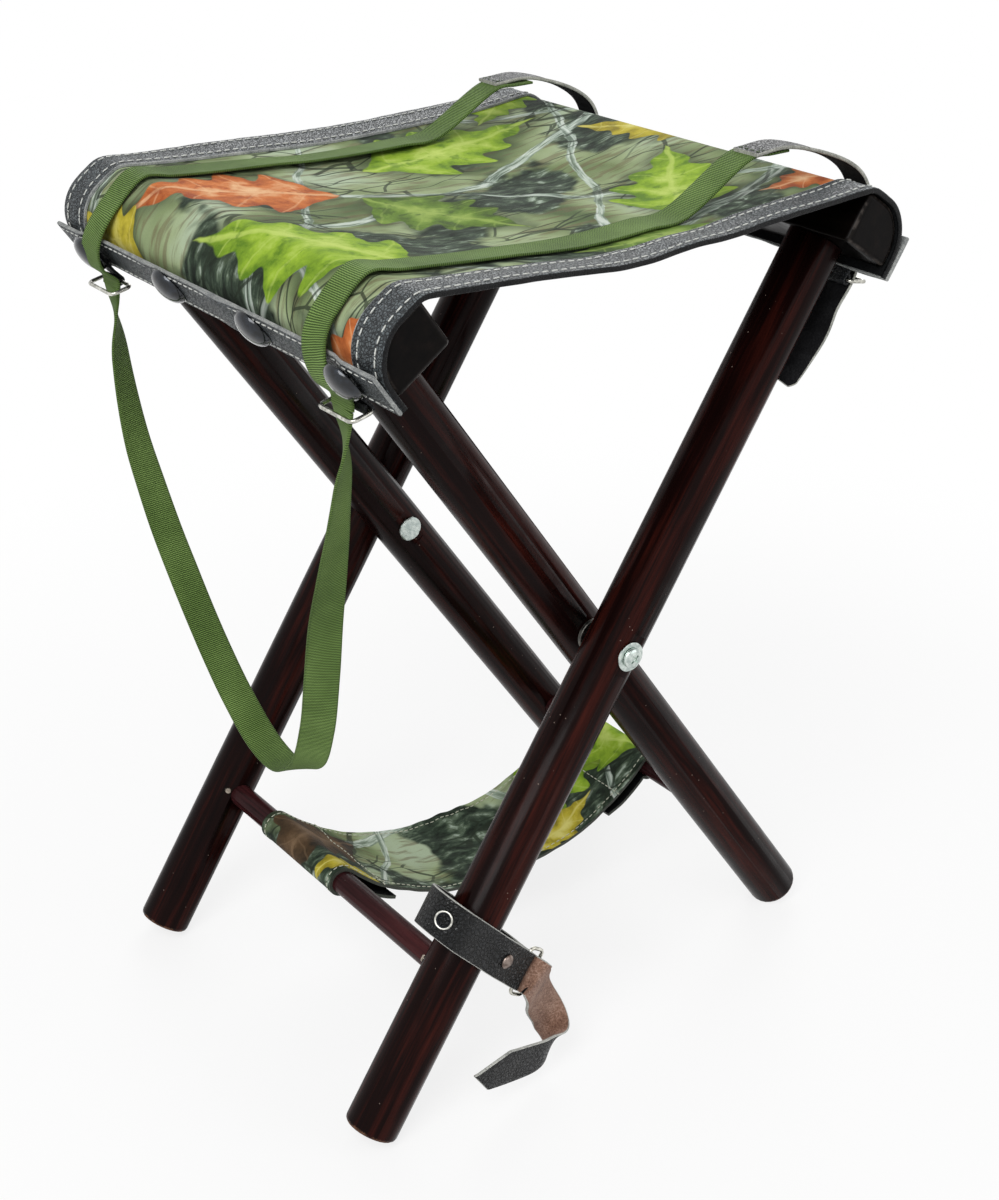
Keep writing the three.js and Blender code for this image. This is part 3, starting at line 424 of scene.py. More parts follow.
def from_node(name: str, node: str, finish: Material, sharp: float = 32.0,
              bevel: float = 0.0) -> Piece:
    """Copy a rigid node of the frame as one joined, smoothed mesh that stands for it.

    Args:
        name: the new piece's name.
        node: the frame's node.
        finish: the piece's material.
        sharp: the angle in degrees from which an edge is not smoothed.
        bevel: how far its sharp edges are rounded, in millimetres.

    Returns:
        The new object.
    """
    mesh = bpy.data.objects[node].data.copy()
    work = bmesh.new()
    work.from_mesh(mesh)
    bmesh.ops.remove_doubles(work, verts=work.verts, dist=2e-6)
    bmesh.ops.dissolve_limit(work, angle_limit=math.radians(1.0), verts=work.verts, edges=work.edges)
    work.to_mesh(mesh)
    work.free()
    mesh.materials.clear()
    mesh.materials.append(finish)
    mesh.polygons.foreach_set("material_index", [0] * len(mesh.polygons))
    smooth(mesh, sharp)
    piece = in_scene(name, mesh)
    if bevel:
        rounding = piece.modifiers.new("worn_edges", "BEVEL")
        rounding.width = bevel * MM
        rounding.segments = 3
        rounding.limit_method = "ANGLE"
        rounding.angle_limit = math.radians(sharp)
        rounding.use_clamp_overlap = False
        rounding.harden_normals = True
        settle(piece)
    return piece


def linear(code: str) -> tuple[float, float, float, float]:
    """Turn a colour written as RRGGBB into the linear values that a shader takes."""
    parts = [int(code[i:i + 2], 16) / 255 for i in (0, 2, 4)]
    return (*(c / 12.92 if c <= 0.04045 else ((c + 0.055) / 1.055) ** 2.4 for c in parts), 1.0)


class Mixer:
    """Builds one material, or one group, from its nodes."""

    def __init__(self, tree: bpy.types.NodeTree) -> None:
        """Take the node tree that the methods add to."""
        self.tree = tree

    def node(self, kind: str, inputs: dict[str | int, object] | None = None,
             **settings: object) -> bpy.types.Node:
        """Add a node.

        Args:
            kind: the node's type.
            inputs: a value or a socket for each named or numbered input.
            settings: the node's own settings.

        Returns:
            The new node.
        """
        made = self.tree.nodes.new(kind)
        for key, value in settings.items():
            setattr(made, key, value)
        self.fill(made, inputs or {})
        return made

    def fill(self, made: bpy.types.Node, inputs: dict[str | int, object]) -> None:
        """Link a socket to each of a node's inputs, or set its value.

        Args:
            made: the node.
            inputs: a value or a socket for each named or numbered input.
        """
        for key, value in inputs.items():
            if isinstance(value, Socket):
                self.tree.links.new(value, made.inputs[key])
            else:
                made.inputs[key].default_value = value

    def math(self, operation: str, *values: Value) -> Socket:
        """Work out one number from up to three."""
        return self.node("ShaderNodeMath", dict(enumerate(values)), operation=operation).outputs[0]

    def add(self, a: Value, b: Value) -> Socket:
        """Add two numbers."""
        return self.math("ADD", a, b)

    def less(self, a: Value, b: Value) -> Socket:
        """Take the second number from the first."""
        return self.math("SUBTRACT", a, b)

    def mul(self, a: Value, b: Value) -> Socket:
        """Multiply two numbers."""
        return self.math("MULTIPLY", a, b)

    def either(self, a: Value, b: Value) -> Socket:
        """The larger of two numbers."""
        return self.math("MAXIMUM", a, b)

    def wave(self, turn: Value) -> Socket:
        """A sine wave between 0 and 1."""
        return self.math("MULTIPLY_ADD", self.math("SINE", turn), 0.5, 0.5)

    def weighed(self, *parts: tuple[Value, float]) -> Socket:
        """Add up numbers, each times its weight."""
        return reduce(self.add, [self.mul(value, weight) for value, weight in parts])

    def swing(self, value: Value, reach: float) -> Socket:
        """Centre a number from 0 to 1 on zero and scale it."""
        return self.mul(self.less(value, 0.5), reach)

    def over(self, colour: object, top: object, mask: Value, strength: float) -> Socket:
        """Lay a colour over another through a mask, at a strength."""
        return self.mix(self.mul(mask, strength), colour, top)

    def span(self, value: Value, low: Value, high: Value, to_low: float = 0.0, to_high: float = 1.0,
             soft: bool = True) -> Socket:
        """Carry a number from one span to another, held within it and, where soft, eased at both ends."""
        ends = {"Value": value, "From Min": low, "From Max": high, "To Min": to_low, "To Max": to_high}
        return self.node("ShaderNodeMapRange", ends,
                         interpolation_type="SMOOTHSTEP" if soft else "LINEAR").outputs[0]

    def mix(self, share: Value, a: object, b: object, blend: str = "MIX") -> Socket:
        """Mix a share of the second colour into the first, each a socket or RRGGBB."""
        ends = {k: linear(v) if isinstance(v, str) else v for k, v in {6: a, 7: b}.items()}
        return self.node("ShaderNodeMix", {0: share, **ends}, data_type="RGBA", blend_type=blend).outputs[2]

    def ramp(self, value: Value, stops: Sequence[tuple[float, str]]) -> Socket:
        """Look a number up among colours.

        Args:
            value: the number.
            stops: the colours as RRGGBB, each with its place from 0 to 1 before it.

        Returns:
            The colour.
        """
        made = self.node("ShaderNodeValToRGB", {0: value})
        band = made.color_ramp
        while len(band.elements) < len(stops):
            band.elements.new(0.5)
        for element, (place, code) in zip(band.elements, stops):
            element.position = place
            element.color = linear(code)
        return made.outputs[0]

    def noise(self, at: Socket, scale: float, detail: float = 3.0, rough: float = 0.55) -> Socket:
        """An even cloud of values from 0 to 1."""
        return self.node("ShaderNodeTexNoise", {"Vector": at, "Scale": scale, "Detail": detail,
                                                "Roughness": rough}).outputs["Fac"]

    def cells(self, at: Socket, scale: float, feature: str = "F1", output: str = "Distance") -> Socket:
        """Cells about scattered points: a distance in them, or a colour for each."""
        made = self.node("ShaderNodeTexVoronoi", {"Vector": at, "Scale": scale}, feature=feature)
        return made.outputs[output]

    def place(self, at: Socket, move: Sequence[float] = (0, 0, 0), turn: Sequence[float] = (0, 0, 0),
              scale: Sequence[float] = (1, 1, 1)) -> Socket:
        """Turn, stretch and move coordinates."""
        inputs = {"Vector": at, "Location": move, "Rotation": turn, "Scale": scale}
        return self.node("ShaderNodeMapping", inputs).outputs[0]

    def warped(self, at: Socket, scale: float, reach: float, detail: float = 2.0) -> Socket:
        """Push coordinates about by a cloud of values.

        Args:
            at: the coordinates.
            scale: the cloud's scale.
            reach: how far they are pushed.
            detail: the cloud's detail.

        Returns:
            The new coordinates.
        """
        cloud = self.node("ShaderNodeTexNoise", {"Vector": at, "Scale": scale, "Detail": detail})
        push = self.node("ShaderNodeVectorMath", {0: cloud.outputs["Color"], 1: (0.5, 0.5, 0.5)},
                         operation="SUBTRACT").outputs[0]
        return self.node("ShaderNodeVectorMath", {0: push, 1: (reach, reach, reach), 2: at},
                         operation="MULTIPLY_ADD").outputs[0]

    def apart(self, at: Socket) -> tuple[Socket, Socket, Socket]:
        """Split coordinates into three numbers."""
        made = self.node("ShaderNodeSeparateXYZ", {0: at})
        return made.outputs[0], made.outputs[1], made.outputs[2]

    def together(self, x: Value, y: Value, z: Value = 0.0) -> Socket:
        """Join three numbers into coordinates."""
        return self.node("ShaderNodeCombineXYZ", {0: x, 1: y, 2: z}).outputs[0]

    def watched(self) -> Socket:
        """1 for rays from the camera, off a shiny face or through glass."""
        ray = self.node("ShaderNodeLightPath").outputs
        return reduce(self.either, (ray[f"Is {kind} Ray"] for kind in ("Camera", "Glossy", "Transmission")))


class Surface(Mixer):
    """Builds one piece's material."""

    def __init__(self, name: str, **constants: object) -> None:
        """Start a material whose shader holds the constant values on its own sockets.

        Args:
            name: the material's name.
            constants: shader inputs by name, with _ for a space.
        """
        self.material = bpy.data.materials.new(name)
        self.material.use_nodes = True
        super().__init__(self.material.node_tree)
        self.shader = next(n for n in self.tree.nodes if n.type == "BSDF_PRINCIPLED")
        for key, value in constants.items():
            self.shader.inputs[key.replace("_", " ")].default_value = value
        self.spots = self.node("ShaderNodeTexCoord").outputs["Object"]
        self.plan = self.node("ShaderNodeUVMap", uv_map="cloth_plan").outputs[0]

    def finish(self, colour: Socket, rough: Socket | None,
               bumps: Sequence[tuple[Socket, float]]) -> Material:
        """Link colour, roughness and relief to the shader.

        Args:
            colour: the surface's colour.
            rough: its roughness, where that varies.
            bumps: heights from 0 to 1, each with how many metres a height of 1 stands out.

        Returns:
            The finished material.
        """
        linked = {"Base Color": colour} if rough is None else {"Base Color": colour, "Roughness": rough}
        under = {}
        for height, depth in bumps:
            inputs = {"Height": height, "Distance": depth, "Strength": 1.0, **under}
            under = {"Normal": self.node("ShaderNodeBump", inputs).outputs[0]}
        self.fill(self.shader, {**linked, **under})
        return self.material

    def along_leg(self, side: int) -> Socket:
        """Coordinates with Z along a leaning leg and zero at the pivot."""
        h = PIVOT_HEIGHT * MM
        return self.place(self.spots, move=(side * h * SIN, 0, -h * COS), turn=(0, -side * LEG_ANGLE, 0))


@dataclass(frozen=True)
class LegLacquer:
    """Dark red-brown lacquer over wood, thin on the feet's rims.

    Args:
        side: the frame whose lean the grain follows.
        turned_to_y: whether the grain runs along the pivot, as on a rung.
    """

    side: Side
    turned_to_y: bool = False
    dark: str = "0a0404"
    middle: str = "150706"
    warm: str = "35130e"
    bare: str = "8a6650"

    def make(self) -> Material:
        """Build the material.

        Returns:
            The finished material.
        """
        s = Surface(f"{self.side.label}_{'rung' if self.turned_to_y else 'leg'}_lacquer", Coat_Weight=0.03,
                    Coat_Roughness=0.12, Coat_IOR=1.5, Specular_IOR_Level=0.045)
        at = s.along_leg(self.side.value)
        x, y, z = s.apart(at)
        if self.turned_to_y:
            at = s.together(x, z, y)
        bent = s.warped(at, 6.0, 0.004)
        streak = s.noise(s.place(bent, scale=(1, 1, 0.045)), 190.0, 4.0, 0.62)
        broad = s.noise(s.place(bent, scale=(1, 1, 0.12)), 34.0, 3.0, 0.5)
        pore = s.noise(s.place(at, scale=(1, 1, 0.02)), 900.0, 2.0, 0.6)
        tone = s.weighed((streak, 0.62), (broad, 0.45))
        colour = s.ramp(tone, [(0.36, self.dark), (0.52, self.middle), (0.66, self.warm), (0.82, "54241a")])
        colour = s.mix(s.span(pore, 0.56, 0.68, 0.0, 0.55), colour, "0c0505")
        speck = s.mul(s.span(s.cells(at, 165.0), 0.075, 0.045), s.span(s.noise(at, 21.0, 1.0), 0.55, 0.66))
        colour = s.over(colour, "a79387", speck, 0.7)
        rough = s.span(s.noise(at, 60.0, 4.0), 0.3, 0.7, 0.2, 0.34, soft=False)
        bumps = [(streak, 0.00009), (s.noise(at, 45.0, 2.0), 0.00025), (speck, 0.00006)]
        if not self.turned_to_y:
            foot = s.add(z, FOOT_REACH * MM)
            chips = s.noise(at, 150.0, 4.0, 0.7)
            rim = s.add(foot, s.swing(chips, 0.0085))
            worn = s.span(rim, 0.0024, 0.0012)
            under = s.span(foot, 0.0009, 0.0003)
            wood = s.mix(s.noise(s.place(at, scale=(1, 1, 0.1)), 420.0, 3.0), self.bare, "3d2419")
            wood = s.over(wood, "241713", under, 0.75)
            bared = s.either(worn, under)
            colour = s.over(colour, wood, bared, 0.86)
            rough = s.add(rough, s.mul(bared, 0.4))
            bumps.append((s.less(1.0, worn), 0.0003))
        return s.finish(colour, rough, bumps)


@dataclass(frozen=True)
class RailLacquer:
    """Nearly black lacquer on a sawn rail, grey along the rims of its ends: partly rubbed lacquer, partly a
    painted highlight.
    """

    side: Side
    # How far from the rail's middle the grey rim, partly rubbed lacquer and partly a painted highlight, fades
    # in and out, in metres
    rim_starts: tuple[float, float] = (0.1729, 0.1737)
    rim_ends: tuple[float, float] = (0.1742, 0.1748)

    def make(self) -> Material:
        """Build the material.

        Returns:
            The finished material.
        """
        s = Surface(f"{self.side.label}_rail_lacquer", Coat_Weight=0.03, Coat_Roughness=0.2,
                    Specular_IOR_Level=0.05)
        at = s.along_leg(self.side.value)
        x, y, z = s.apart(at)
        grain_at = s.together(x, z, y)
        streak = s.noise(s.place(s.warped(grain_at, 5.0, 0.006), scale=(1, 1, 0.05)), 150.0, 4.0, 0.6)
        rings = s.noise(s.place(at, scale=(1, 0.15, 1)), 260.0, 3.0)
        colour = s.ramp(streak, [(0.3, "030202"), (0.55, "090605"), (0.8, "130d0b")])
        away = s.math("ABSOLUTE", y)
        # Grey rims at the ends: partly rubbed lacquer, partly a painted highlight on the rounded edges
        edge = s.mul(s.less(1.0, s.span(away, *self.rim_ends)), s.span(away, *self.rim_starts))
        rubbed_and_highlit = s.mul(edge, s.span(s.noise(at, 130.0, 4.0, 0.7), 0.42, 0.62, 0.1, 0.75))
        colour = s.mix(rubbed_and_highlit, colour, "4d4743")
        rough = s.span(s.noise(at, 70.0, 3.0), 0.3, 0.7, 0.26, 0.42, soft=False)
        swell = s.noise(at, 30.0, 2.0)
        return s.finish(colour, rough, [(streak, 0.00012), (rings, 0.00005), (swell, 0.0003)])


@dataclass(frozen=True)
class Leather:
    """Pebbled leather, with painted shade in the grooves between pebbles and along its creases.

    Args:
        name: the material's name.
        tones: its dark, middle and light colours.
        pebble: how many pebbles lie on a metre.
        relief: how far the pebbles stand out, in metres.
        rough: its roughness.
        creased: how strongly it is creased, and how dark the painted shade along its creases is.
        shine: how strongly it mirrors.
    """

    name: str
    tones: tuple[str, str, str]
    pebble: float = 720.0
    relief: float = 0.00022
    rough: float = 0.5
    creased: float = 0.4
    shine: float = 0.2

    def make(self) -> Material:
        """Build the material.

        Returns:
            The finished material.
        """
        s = Surface(self.name, Specular_IOR_Level=self.shine)
        at = s.warped(s.spots, 240.0, 0.0012)
        edge = s.cells(at, self.pebble, "DISTANCE_TO_EDGE")
        grain = s.span(edge, 0.0, 0.22)
        shade = s.cells(at, self.pebble, "F1", "Color")
        cloud = s.noise(s.spots, 38.0, 4.0, 0.6)
        fine = s.noise(s.spots, 1900.0, 2.0)
        crease = s.span(s.cells(s.warped(s.spots, 30.0, 0.02), 75.0, "DISTANCE_TO_EDGE"), 0.0, 0.05)
        # Painted shade: the grooves between pebbles come out darker through the grain term
        tone = s.weighed((cloud, 0.34), (grain, 0.42), (s.apart(shade)[0], 0.14))
        dark, middle, light = self.tones
        colour = s.ramp(tone, [(0.26, dark), (0.58, middle), (0.86, light)])
        # Painted shade: the crease lines are darkened
        colour = s.over(colour, dark, s.less(1.0, crease), 0.35 * self.creased)
        matt = s.span(grain, 0.0, 1.0, self.rough + 0.2, self.rough - 0.05, soft=False)
        bumps = [(grain, self.relief), (fine, 0.00004), (crease, 0.00025 * self.creased)]
        return s.finish(colour, s.add(matt, s.swing(cloud, 0.3)), bumps)


@dataclass(frozen=True)
class CutEdge:
    """The fibrous cut edge, or the suede back, of leather.

    Args:
        name: the material's name.
        tones: its dark, middle and light colours.
        fibre: how many fibres lie on a metre.
        sheen: how strongly its nap catches light.
        dark_until: how far along the piece's plan it is darkened to near-black as painted shade, in metres.
    """

    name: str
    tones: tuple[str, str, str]
    fibre: float = 1500.0
    sheen: float = 0.2
    dark_until: float = 0.0

    def make(self) -> Material:
        """Build the material.

        Returns:
            The finished material.
        """
        s = Surface(self.name, Roughness=0.92, Specular_IOR_Level=0.1, Sheen_Weight=self.sheen,
                    Sheen_Roughness=0.6)
        at = s.warped(s.spots, 500.0, 0.002)
        nap = s.noise(at, self.fibre, 4.0, 0.75)
        patch = s.noise(s.spots, 110.0, 3.0)
        tone = s.weighed((nap, 0.75), (patch, 0.3))
        dark, middle, light = self.tones
        colour = s.ramp(tone, [(0.36, dark), (0.53, middle), (0.7, light)])
        # Painted shade: the back is darkened to near-black along its plan up to a given place
        if self.dark_until:
            along, _, _ = s.apart(s.plan)
            colour = s.mix(s.span(along, self.dark_until, self.dark_until - 0.004), colour, "0b0b0c")
        return s.finish(colour, None, [(nap, 0.0004)])


@dataclass(frozen=True)
class Webbing:
    """Woven green webbing, with weft ribs and warp threads at these distances, painted shade between the
    ribs, and a firm edge.
    """

    name: str = "green_webbing"
    rib: float = 1.25
    warp: float = 1.5
    width: float = 21.0

    def make(self) -> Material:
        """Build the material, for a plan that runs along the webbing, then across it.

        Returns:
            The finished material.
        """
        s = Surface(self.name, Specular_IOR_Level=0.12, Sheen_Weight=0.04, Sheen_Roughness=0.5)
        along, across, _ = s.apart(s.plan)
        wander = s.swing(s.noise(s.plan, 160.0, 2.0), 0.0006)
        turn = s.mul(s.add(along, wander), 2 * math.pi / (self.rib * MM))
        rib = s.wave(turn)
        warp_turn = s.mul(across, 2 * math.pi / (self.warp * MM))
        phase = s.mul(s.math("SIGN", s.math("SINE", warp_turn)), math.pi / 2)
        stagger = s.wave(s.add(turn, phase))
        weave = s.weighed((rib, 0.65), (stagger, 0.35))
        yarn = s.noise(s.place(s.plan, scale=(1, 7, 1)), 700.0, 3.0, 0.7)
        cloud = s.noise(s.spots, 26.0, 3.0)
        # Painted shade: the gaps between ribs come out darker through the weave term
        tone = s.weighed((weave, 0.72), (yarn, 0.26), (s.less(cloud, 0.5), 0.35))
        colour = s.ramp(tone, [(0.16, "1a2410"), (0.42, "48602d"), (0.66, "708f47"), (0.9, "a0bd72")])
        half = self.width / 2
        edge = s.span(s.math("ABSOLUTE", across), (half - 1.6) * MM, (half - 0.5) * MM)
        colour = s.over(colour, "2b3d1b", edge, 0.3)
        rough = s.span(weave, 0.0, 1.0, 0.85, 0.62, soft=False)
        return s.finish(colour, rough, [(weave, 0.00045), (yarn, 0.0001)])


@dataclass(frozen=True)
class Metal:
    """Plated or lacquered metal.

    Args:
        name: the material's name.
        tones: its dull and bright colours.
        rough: its roughness.
        metallic: 1 for bare plating.
        coat: a coat of lacquer over it.
    """

    name: str
    tones: tuple[str, str]
    rough: float = 0.3
    metallic: float = 1.0
    coat: float = 0.0

    def make(self) -> Material:
        """Build the material.

        Returns:
            The finished material.
        """
        s = Surface(self.name, Metallic=self.metallic, Coat_Weight=self.coat, Coat_Roughness=0.08)
        cloud = s.noise(s.spots, 260.0, 4.0, 0.6)
        scratch = s.noise(s.place(s.spots, scale=(1, 6, 1)), 1500.0, 2.0)
        pit = s.span(s.cells(s.spots, 900.0), 0.12, 0.05)
        colour = s.mix(s.span(cloud, 0.35, 0.65), *self.tones)
        colour = s.over(colour, self.tones[0], pit, 0.35)
        matt = s.span(cloud, 0.3, 0.7, self.rough - 0.07, self.rough + 0.1, soft=False)
        bumps = [(scratch, 0.00002), (pit, 0.00003), (s.noise(s.spots, 120.0), 0.00012)]
        return s.finish(colour, s.add(matt, s.swing(scratch, 0.12)), bumps)


@dataclass(frozen=True)
class Thread:
    """Twisted sewing thread, in two tones."""

    name: str
    tones: tuple[str, str]

    def make(self) -> Material:
        """Build the material.

        Returns:
            The finished material.
        """
        s = Surface(self.name, Roughness=0.7, Sheen_Weight=0.3, Sheen_Roughness=0.4)
        twist = s.noise(s.place(s.spots, turn=(0.4, 0.6, 0.5), scale=(1, 4, 1)), 2600.0, 1.0)
        colour = s.mix(s.span(twist, 0.35, 0.65), *self.tones)
        return s.finish(colour, None, [(twist, 0.00008)])


@dataclass(frozen=True)
class Leaf:
    """One printed leaf: where its stalk starts, where it points, its size and its colours.

    Args:
        start: the stalk's place on the cloth's plan, in millimetres.
        turn: the way that it points, in degrees from the cloth's length.
        length: its length in millimetres.
        width: half of its greatest width in millimetres.
        tones: its shaded, plain and lit colours.
        lobes: how deeply its edge is cut.
    """

    start: tuple[float, float]
    turn: float
    length: float
    width: float
    tones: tuple[str, str, str]
    lobes: float = 0.3


LIME = ("5b7f1c", "98b936", "c6da70")
MOSS = ("3c5120", "6b8936", "9fb65e")
RUST = ("9c4a24", "d37a42", "f3c496")
GOLD = ("86791f", "c4b43c", "e0d77c")
EARTH = ("2a2117", "54402d", "816850")

SEAT_LEAVES = (
    Leaf((161, -148), 10, 96, 34, MOSS, 0.34),
    Leaf((281, 38), 248, 122, 44, MOSS, 0.36),
    Leaf((343, -118), 66, 156, 64, LIME, 0.4),
    Leaf((286, 52), 22, 136, 58, RUST, 0.36),
    Leaf((244, 92), 174, 152, 56, LIME, 0.42),
    Leaf((162, -116), 128, 134, 50, LIME, 0.38),
    Leaf((38, -12), 58, 98, 38, GOLD, 0.36),
    Leaf((36, -142), 16, 74, 30, RUST, 0.38),
    Leaf((432, 74), 98, 92, 34, GOLD, 0.34),
    Leaf((466, -134), 200, 84, 30, RUST, 0.36),
    Leaf((62, 172), -34, 84, 32, LIME, 0.42),
)
SLING_LEAVES = (
    Leaf((176, 18), 186, 118, 42, LIME, 0.36),
    Leaf((196, -34), 172, 78, 24, GOLD, 0.34),
    Leaf((72, -30), 70, 84, 34, LIME, 0.4),
    Leaf((300, 24), -14, 112, 40, EARTH, 0.3),
    Leaf((322, -46), 22, 62, 17, GOLD, 0.3),
)


@dataclass(frozen=True)
class WoodlandPrint:
    """Canvas printed with a generic woodland pattern: leaves over bark, grass and twigs.

    Args:
        name: the material's name.
        leaves: the printed leaves, from the bottom one to the top one.
        shift: moves the ground pattern, in metres.
        gloom: how much of the ground is dark bark, from 0 to 1.
        stripe: the distance between branches, in metres.
        thread: the distance between threads of the weave, in millimetres.
    """

    name: str
    leaves: tuple[Leaf, ...]
    shift: tuple[float, float] = (0.0, 0.0)
    gloom: float = 0.5
    stripe: float = 0.17
    thread: float = 0.62

    @staticmethod
    def leaf_group() -> bpy.types.NodeTree:
        """Build the group that draws one leaf, once for all leaves.

        Returns:
            The group.
        """
        known = bpy.data.node_groups.get("printed_leaf")
        if known:
            return known
        tree = bpy.data.node_groups.new("printed_leaf", "ShaderNodeTree")
        for label, kind in (("Plan", "NodeSocketVector"), ("Length", "NodeSocketFloat"),
                            ("Width", "NodeSocketFloat"), ("Lobes", "NodeSocketFloat")):
            tree.interface.new_socket(label, in_out="INPUT", socket_type=kind)
        for label in ("Mask", "Vein", "Shade", "Shadow"):
            tree.interface.new_socket(label, in_out="OUTPUT", socket_type="NodeSocketFloat")
        m = Mixer(tree)
        given = m.node("NodeGroupInput").outputs
        x, y, _ = m.apart(m.warped(given["Plan"], 42.0, 0.010))
        u = m.math("DIVIDE", x, given["Length"])
        v = m.math("DIVIDE", y, given["Width"])
        bow = m.mul(m.math("SINE", m.mul(u, math.pi)), m.less(1.25, u))
        side = m.math("ABSOLUTE", v)
        rank = m.less(m.mul(u, 30.0), m.mul(side, 6.0))
        tooth = m.mul(m.wave(rank), given["Lobes"])
        edge = m.less(m.mul(bow, m.less(1.0, tooth)), side)
        inside = m.mul(m.span(u, 0.0, 0.01), m.span(u, 1.0, 0.99))
        mask = m.mul(m.span(edge, 0.0, 0.035), inside)
        rib = m.math("ABSOLUTE", m.math("SINE", m.add(m.mul(rank, 0.5), 0.8)))
        vein = m.either(m.span(side, 0.05, 0.018), m.mul(m.span(rib, 0.14, 0.04), 0.55))
        shade = m.add(m.span(edge, 0.0, 0.7), m.mul(m.math("SIGN", v), 0.1))
        shadow = m.mul(m.span(edge, -0.3, 0.05), inside)
        m.node("NodeGroupOutput", {"Mask": mask, "Vein": vein, "Shade": shade, "Shadow": shadow})
        return tree

    def ground(self, s: Surface, at: Socket) -> Socket:
        """Mix the forest floor: sage and khaki, dark bark, pale branches and thin twigs.

        Args:
            s: the material that it belongs to.
            at: the coordinates of the flat cloth.

        Returns:
            The floor's colour.
        """
        bent = s.warped(at, 16.0, 0.03, 3.0)
        patch = s.noise(bent, 11.0, 3.0, 0.5)
        colour = s.ramp(patch, [(0.34, "566843"), (0.44, "7f8f64"), (0.53, "a0af86"), (0.64, "b3c3a6")])
        blade_at = s.place(s.warped(at, 9.0, 0.03), turn=(0, 0, 0.5), scale=(1, 7, 1))
        blades = s.noise(blade_at, 26.0, 3.0, 0.6)
        colour = s.mix(s.span(blades, 0.5, 0.62, 0, 0.55), colour, "6b5a44")
        bark_at = s.place(bent, move=(0.31, 0.12, 0))
        gloom = 0.12 * self.gloom
        bark = s.span(s.noise(bark_at, 8.5, 4.0, 0.55), 0.56 - gloom, 0.61 - gloom)
        flake = s.noise(s.place(s.warped(at, 30.0, 0.02), scale=(1, 2.2, 1)), 62.0, 4.0, 0.6)
        bark_tone = s.ramp(flake, [(0.36, "182019"), (0.5, "354236"), (0.6, "5d6c5a"), (0.7, "b4c3b4")])
        colour = s.mix(bark, colour, bark_tone)
        limbs = ((0.35, 0.0, 0.0044), (-0.62, 0.13, 0.0034), (1.05, 0.21, 0.003))
        for i, (turn, move, width) in enumerate(limbs):
            limb_at = s.place(s.warped(at, 7.0 + i, 0.05), move=(0.07 * i, move, 0), turn=(0, 0, turn))
            _, across, _ = s.apart(limb_at)
            lane = s.math("MODULO", s.add(across, 3.0), self.stripe)
            near = s.math("ABSOLUTE", s.less(lane, self.stripe / 2))
            knots = s.noise(limb_at, 90.0, 3.0)
            wood = s.span(s.add(near, s.mul(knots, 0.004)), width + 0.0024, width + 0.0012)
            pale = s.ramp(s.noise(s.place(limb_at, scale=(0.3, 3, 1)), 140.0, 3.0),
                          [(0.4, "6f7f72"), (0.52, "b9c8bb"), (0.62, "dfe8df")])
            colour = s.over(colour, pale, wood, 0.85)
            shadow = s.span(s.less(across, s.math("SNAP", across, self.stripe)), 0.1, 0.093)
            colour = s.over(colour, "27302a", s.mul(shadow, wood), 0.25)
        for turn, scale in ((0.9, 15.0), (-0.35, 11.0)):
            web_at = s.place(s.warped(at, 14.0, 0.03), turn=(0, 0, turn), scale=(1, 2.6, 1))
            web = s.cells(web_at, scale, "DISTANCE_TO_EDGE")
            twig = s.mul(s.span(web, 0.022, 0.012), s.span(s.noise(at, 12.0), 0.42, 0.5))
            colour = s.over(colour, "222a20", twig, 0.8)
        return colour

    def make(self) -> Material:
        """Build the material, for a plan that is the flat cloth.

        Returns:
            The finished material.
        """
        s = Surface(self.name, Specular_IOR_Level=0.1, Sheen_Weight=0.03, Sheen_Roughness=0.5)
        at = s.place(s.plan, move=(*self.shift, 0))
        colour = self.ground(s, at)
        group = self.leaf_group()
        mottle = s.noise(s.warped(s.plan, 60.0, 0.008), 70.0, 4.0, 0.6)
        for leaf in self.leaves:
            turn = math.radians(leaf.turn)
            c, n = math.cos(-turn), math.sin(-turn)
            sx, sy = leaf.start[0] * MM, leaf.start[1] * MM
            own = s.place(s.plan, move=(-(sx * c - sy * n), -(sx * n + sy * c), 0), turn=(0, 0, -turn))
            made = s.node("ShaderNodeGroup", node_tree=group)
            s.fill(made, {"Plan": own, "Length": leaf.length * MM, "Width": leaf.width * MM,
                          "Lobes": leaf.lobes})
            dark, plain, lit = leaf.tones
            tone = s.weighed((made.outputs["Shade"], 0.3), (mottle, 0.9))
            body = s.ramp(tone, [(0.34, dark), (0.6, plain), (0.86, lit)])
            body = s.over(body, lit, made.outputs["Vein"], 0.6)
            body = s.over(body, dark, s.span(mottle, 0.44, 0.36), 0.5)
            colour = s.over(colour, "1e281b", made.outputs["Shadow"], 0.55)
            colour = s.mix(made.outputs["Mask"], colour, body)
        speck = s.noise(s.plan, 1100.0, 2.0, 0.6)
        colour = s.mix(s.span(speck, 0.4, 0.64, 0.0, 0.22), colour, "dfe3cf", "SOFT_LIGHT")
        x, y, _ = s.apart(s.plan)
        pick = 2 * math.pi / (self.thread * MM)
        weave = s.mul(s.math("SINE", s.mul(x, pick)), s.math("SINE", s.mul(y, pick)))
        weave = s.math("MULTIPLY_ADD", weave, 0.5, 0.5)
        # Painted shade in the gaps between the canvas threads
        colour = s.over(colour, "1c2216", s.less(1.0, weave), 0.16)
        rough = s.span(mottle, 0.3, 0.7, 0.72, 0.86, soft=False)
        return s.finish(colour, rough, [(weave, 0.00008), (speck, 0.00006)])


